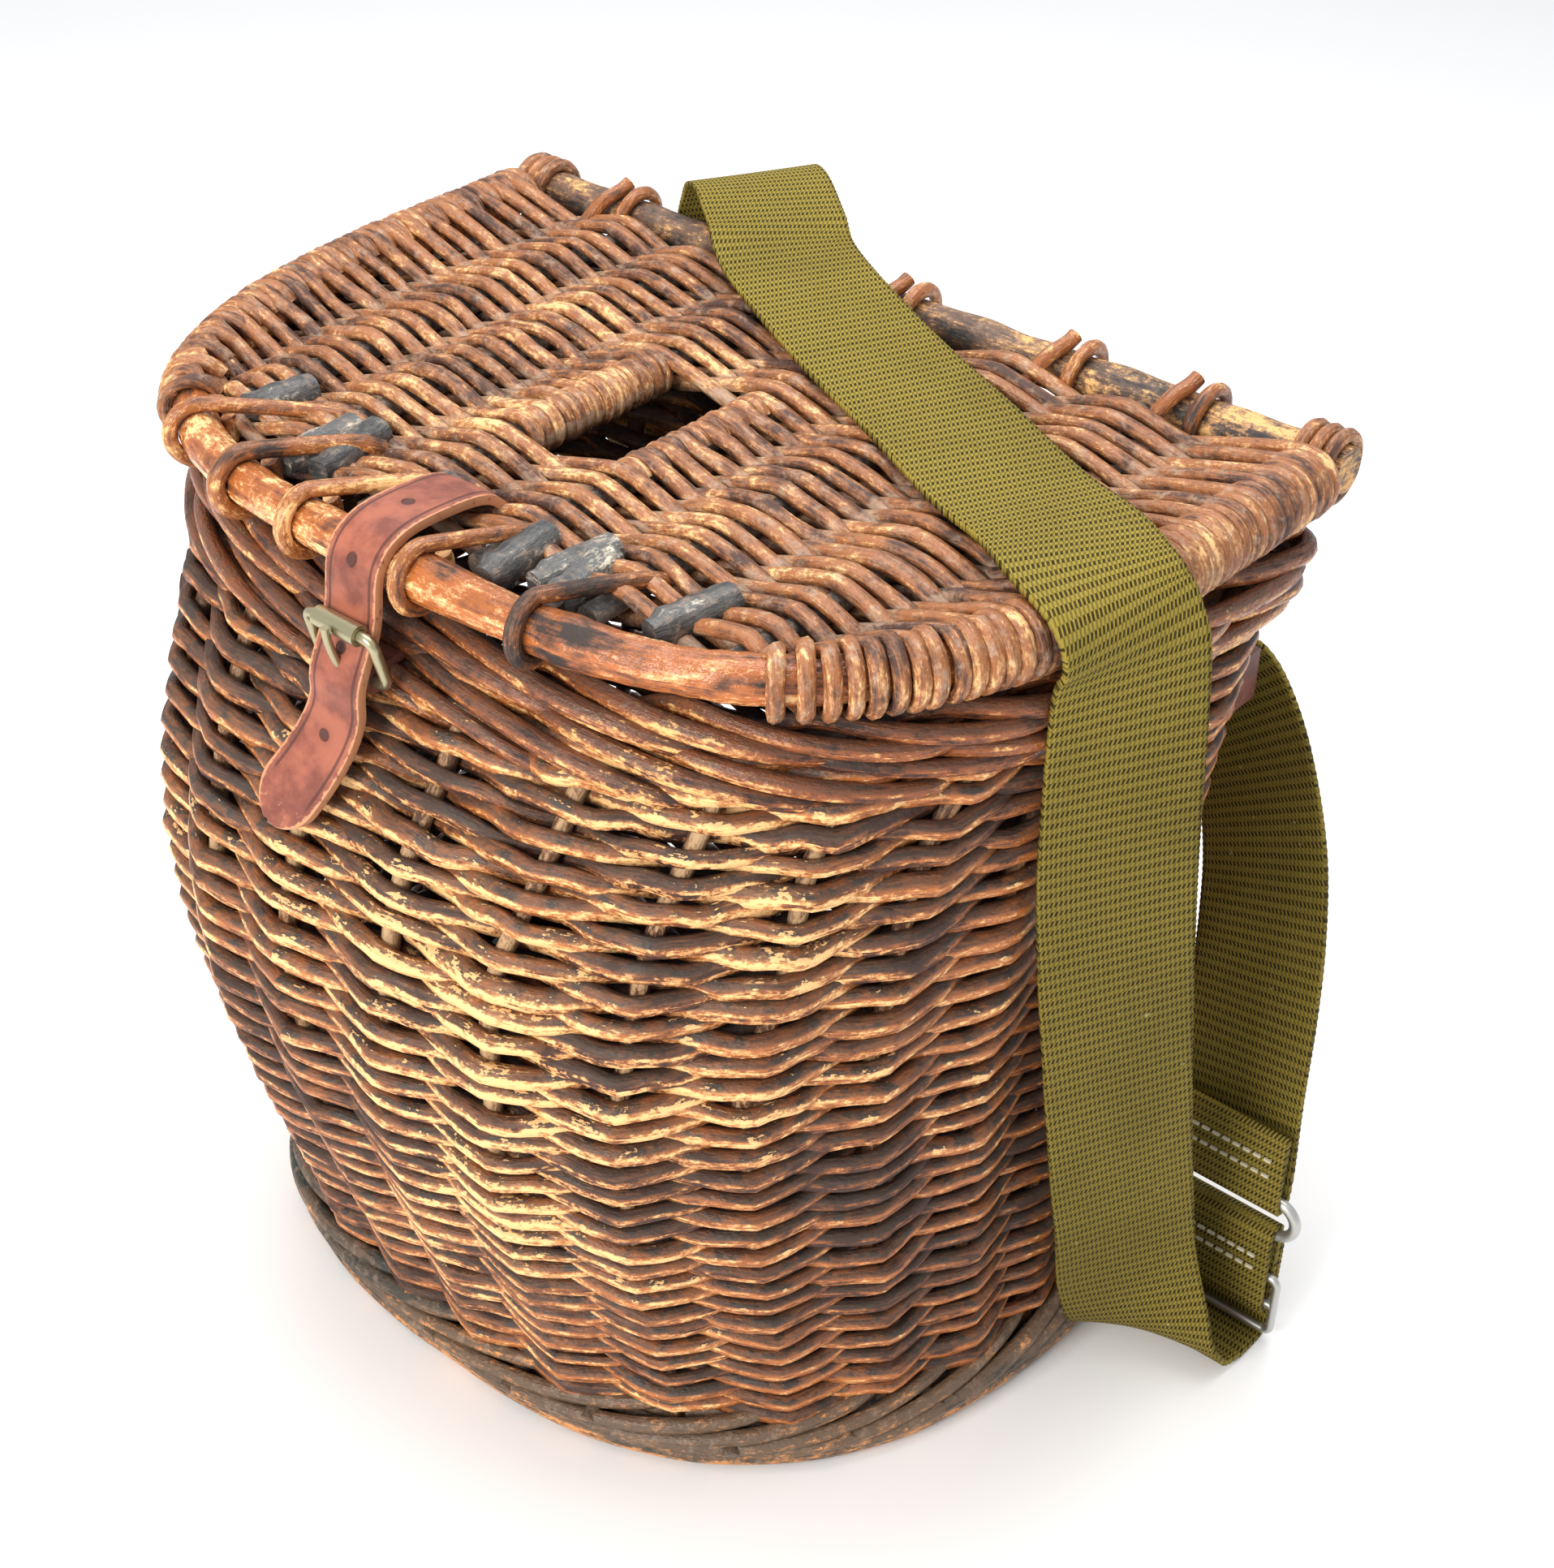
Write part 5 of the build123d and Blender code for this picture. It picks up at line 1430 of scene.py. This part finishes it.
@dataclass
class ClosingStrap:
    """The leather strap with its buckle, chape and peg."""

    width: float = 0.018
    thickness: float = 0.0026
    spacing: float = 0.0007
    columns: int = 15
    crown: float = 0.0003
    swell: float = 0.08  # how much wider it is near the tip
    bevel: float = 0.0006

    def build(self) -> None:
        """Makes the strap and dresses the buckle."""
        across = (1.0, 0, 0)
        stations = [
            ((-4.5, -17, 266.5), across), ((-4.5, -35, 266.8), across), ((-4.5, -43, 274.7), across),
            ((-4.5, -51, 282.4), across), ((-4.5, -65, 284.6), across), ((-4.5, -79.1, 283.8), across),
            ((-4.5, -87.2, 277.7), across), ((-4.5, -90.3, 262.6), across), ((-4.5, -96.6, 249), across),
            ((-4.9, -97.4, 240.5), (0.99, -0.02, -0.11)), ((-6.2, -99.0, 234.3), (0.97, -0.06, -0.20)),
            ((-8.3, -101.5, 228.2), (0.955, -0.10, -0.28)), ((-11.0, -104.6, 221.9), (0.93, -0.14, -0.34)),
            ((-14.3, -108.5, 215.3), (0.91, -0.13, -0.39)), ((-18.1, -112.4, 208.2), (0.9, -0.1, -0.42)),
        ]
        route = Route.through(stations, 12).even(self.spacing)
        left = route.length() - run_length(route.points)
        half = self.width / 2
        tip = half * np.sqrt(np.clip(1 - np.clip(1 - left / (1.25 * half), 0, 1) ** 2, 0.01, 1))
        swell = 1 + self.swell * smooth_step(0.045, 0.012, left)
        grid, spots = route.grid(2 * tip * swell, self.columns, 0.0, self.crown)
        spots[..., 1] = np.linspace(-half, half, self.columns)
        piece = strip("closing_strap_leather", grid, spots, self.thickness, Finish.STRAP)
        edges = piece.modifiers.new("edges", "BEVEL")
        edges.width, edges.segments, edges.limit_method = self.bevel, 2, "ANGLE"
        settle(piece, "lid", ("closing_strap",))
        for finish, nodes in (
            (Finish.BRASS, ("buckle_frame", "buckle_roller", "buckle_prong")),
            (Finish.LOOP, ("buckle_chape", "back_loop_left", "back_loop_right")),
            (Finish.CUT, ("chape_peg",)),
            (Finish.WIRE, ("strap_ring", "strap_slider")),
        ):
            for node in nodes:
                dress(bpy.data.objects[node], finish)


# --------------------------------------------------------------------------------------------------------------- stage


@dataclass(frozen=True)
class Lamp:
    """A square area light aimed at the creel."""

    name: str
    place: tuple[float, float, float]
    size: float
    power: float
    colour: Colour


@dataclass
class Studio:
    """Camera at the photograph's place, pale floor and soft light."""

    place: tuple[float, float, float] = (0.396557, -0.406656, 0.569567)
    azimuth: float = 39.996
    elevation: float = 35.370
    roll: float = 0.638
    lens: float = 55.157
    floor_half: float = 3.0
    floor_level: float = -0.0002
    aim: tuple[float, float, float] = (0.0, 0.0, 0.13)
    surround: tuple[float, float, float, float] = (0.95, 0.97, 1.0, 1.0)
    surround_strength: float = 0.78
    lamps: tuple[Lamp, ...] = (
        Lamp("overhead", (-0.10, 0.20, 1.35), 1.0, 14.5, (1.0, 0.99, 0.97)),
        Lamp("front_fill", (0.08, -1.25, 0.80), 0.6, 16.0, (1.0, 0.96, 0.9)),
    )

    def build(self) -> None:
        """Makes the camera, the floor and the lights."""
        self._camera()
        self._floor()
        self._lights()

    def _put(self, name: str, data: bpy.types.ID, axes: Array, place: Sequence[float]) -> bpy.types.Object:
        """Adds an object whose right, up and back directions are the columns of axes."""
        matrix = np.eye(4)
        matrix[:3, :3] = axes
        matrix[:3, 3] = place
        made = bpy.data.objects.new(name, data)
        made.matrix_world = Matrix(matrix.tolist())
        bpy.context.collection.objects.link(made)
        return made

    def _camera(self) -> None:
        """Camera that looks along its azimuth and elevation, rolled about the view."""
        a, e, r = (math.radians(v) for v in (self.azimuth, self.elevation, self.roll))
        back = np.array([math.sin(a) * math.cos(e), -math.cos(a) * math.cos(e), math.sin(e)])
        right = np.array([math.cos(a), math.sin(a), 0.0])
        roll = np.array([[math.cos(r), math.sin(r), 0], [-math.sin(r), math.cos(r), 0], [0, 0, 1]])
        data = bpy.data.cameras.new("photo_camera")
        data.lens, data.sensor_width, data.sensor_fit = self.lens, 36.0, "AUTO"
        axes = (roll @ np.stack([right, np.cross(back, right), back])).T
        bpy.context.scene.camera = self._put("photo_camera", data, axes, self.place)

    def _floor(self) -> None:
        """Wide flat floor just under the creel."""
        s = np.linspace(-self.floor_half, self.floor_half, 61)
        x, y = np.meshgrid(s, s, indexing="ij")
        grid = points_at(x, y, self.floor_level)
        bundle = Bundle("floor")
        bundle.sheet(grid, points_at(x, y))
        floor = bundle.make()
        dress(floor, Finish.FLOOR)

    def _lights(self) -> None:
        """A wide soft light overhead, a fill in front and an even pale surround."""
        world = bpy.data.worlds.new("surround")
        world.use_nodes = True
        inputs = world.node_tree.nodes["Background"].inputs
        inputs["Color"].default_value, inputs["Strength"].default_value = self.surround, self.surround_strength
        bpy.context.scene.world = world
        for lamp in self.lamps:
            data = bpy.data.lights.new(lamp.name, "AREA")
            data.shape, data.size, data.energy, data.color = "SQUARE", lamp.size, lamp.power, lamp.colour
            back = unit(np.array(lamp.place) - self.aim)
            right = unit(np.cross(UP, back))
            self._put(lamp.name, data, np.stack([right, np.cross(back, right), back], 1), lamp.place)
        bpy.context.scene.view_settings.view_transform = "Standard"


def main() -> None:
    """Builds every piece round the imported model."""
    logging.basicConfig(level=logging.INFO, format="%(name)s %(message)s")
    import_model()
    Wall().build()
    Lid().build()
    ShoulderStrap().build()
    ClosingStrap().build()
    Studio().build()
    bpy.context.view_layer.update()


if __name__ == "__main__":
    main()
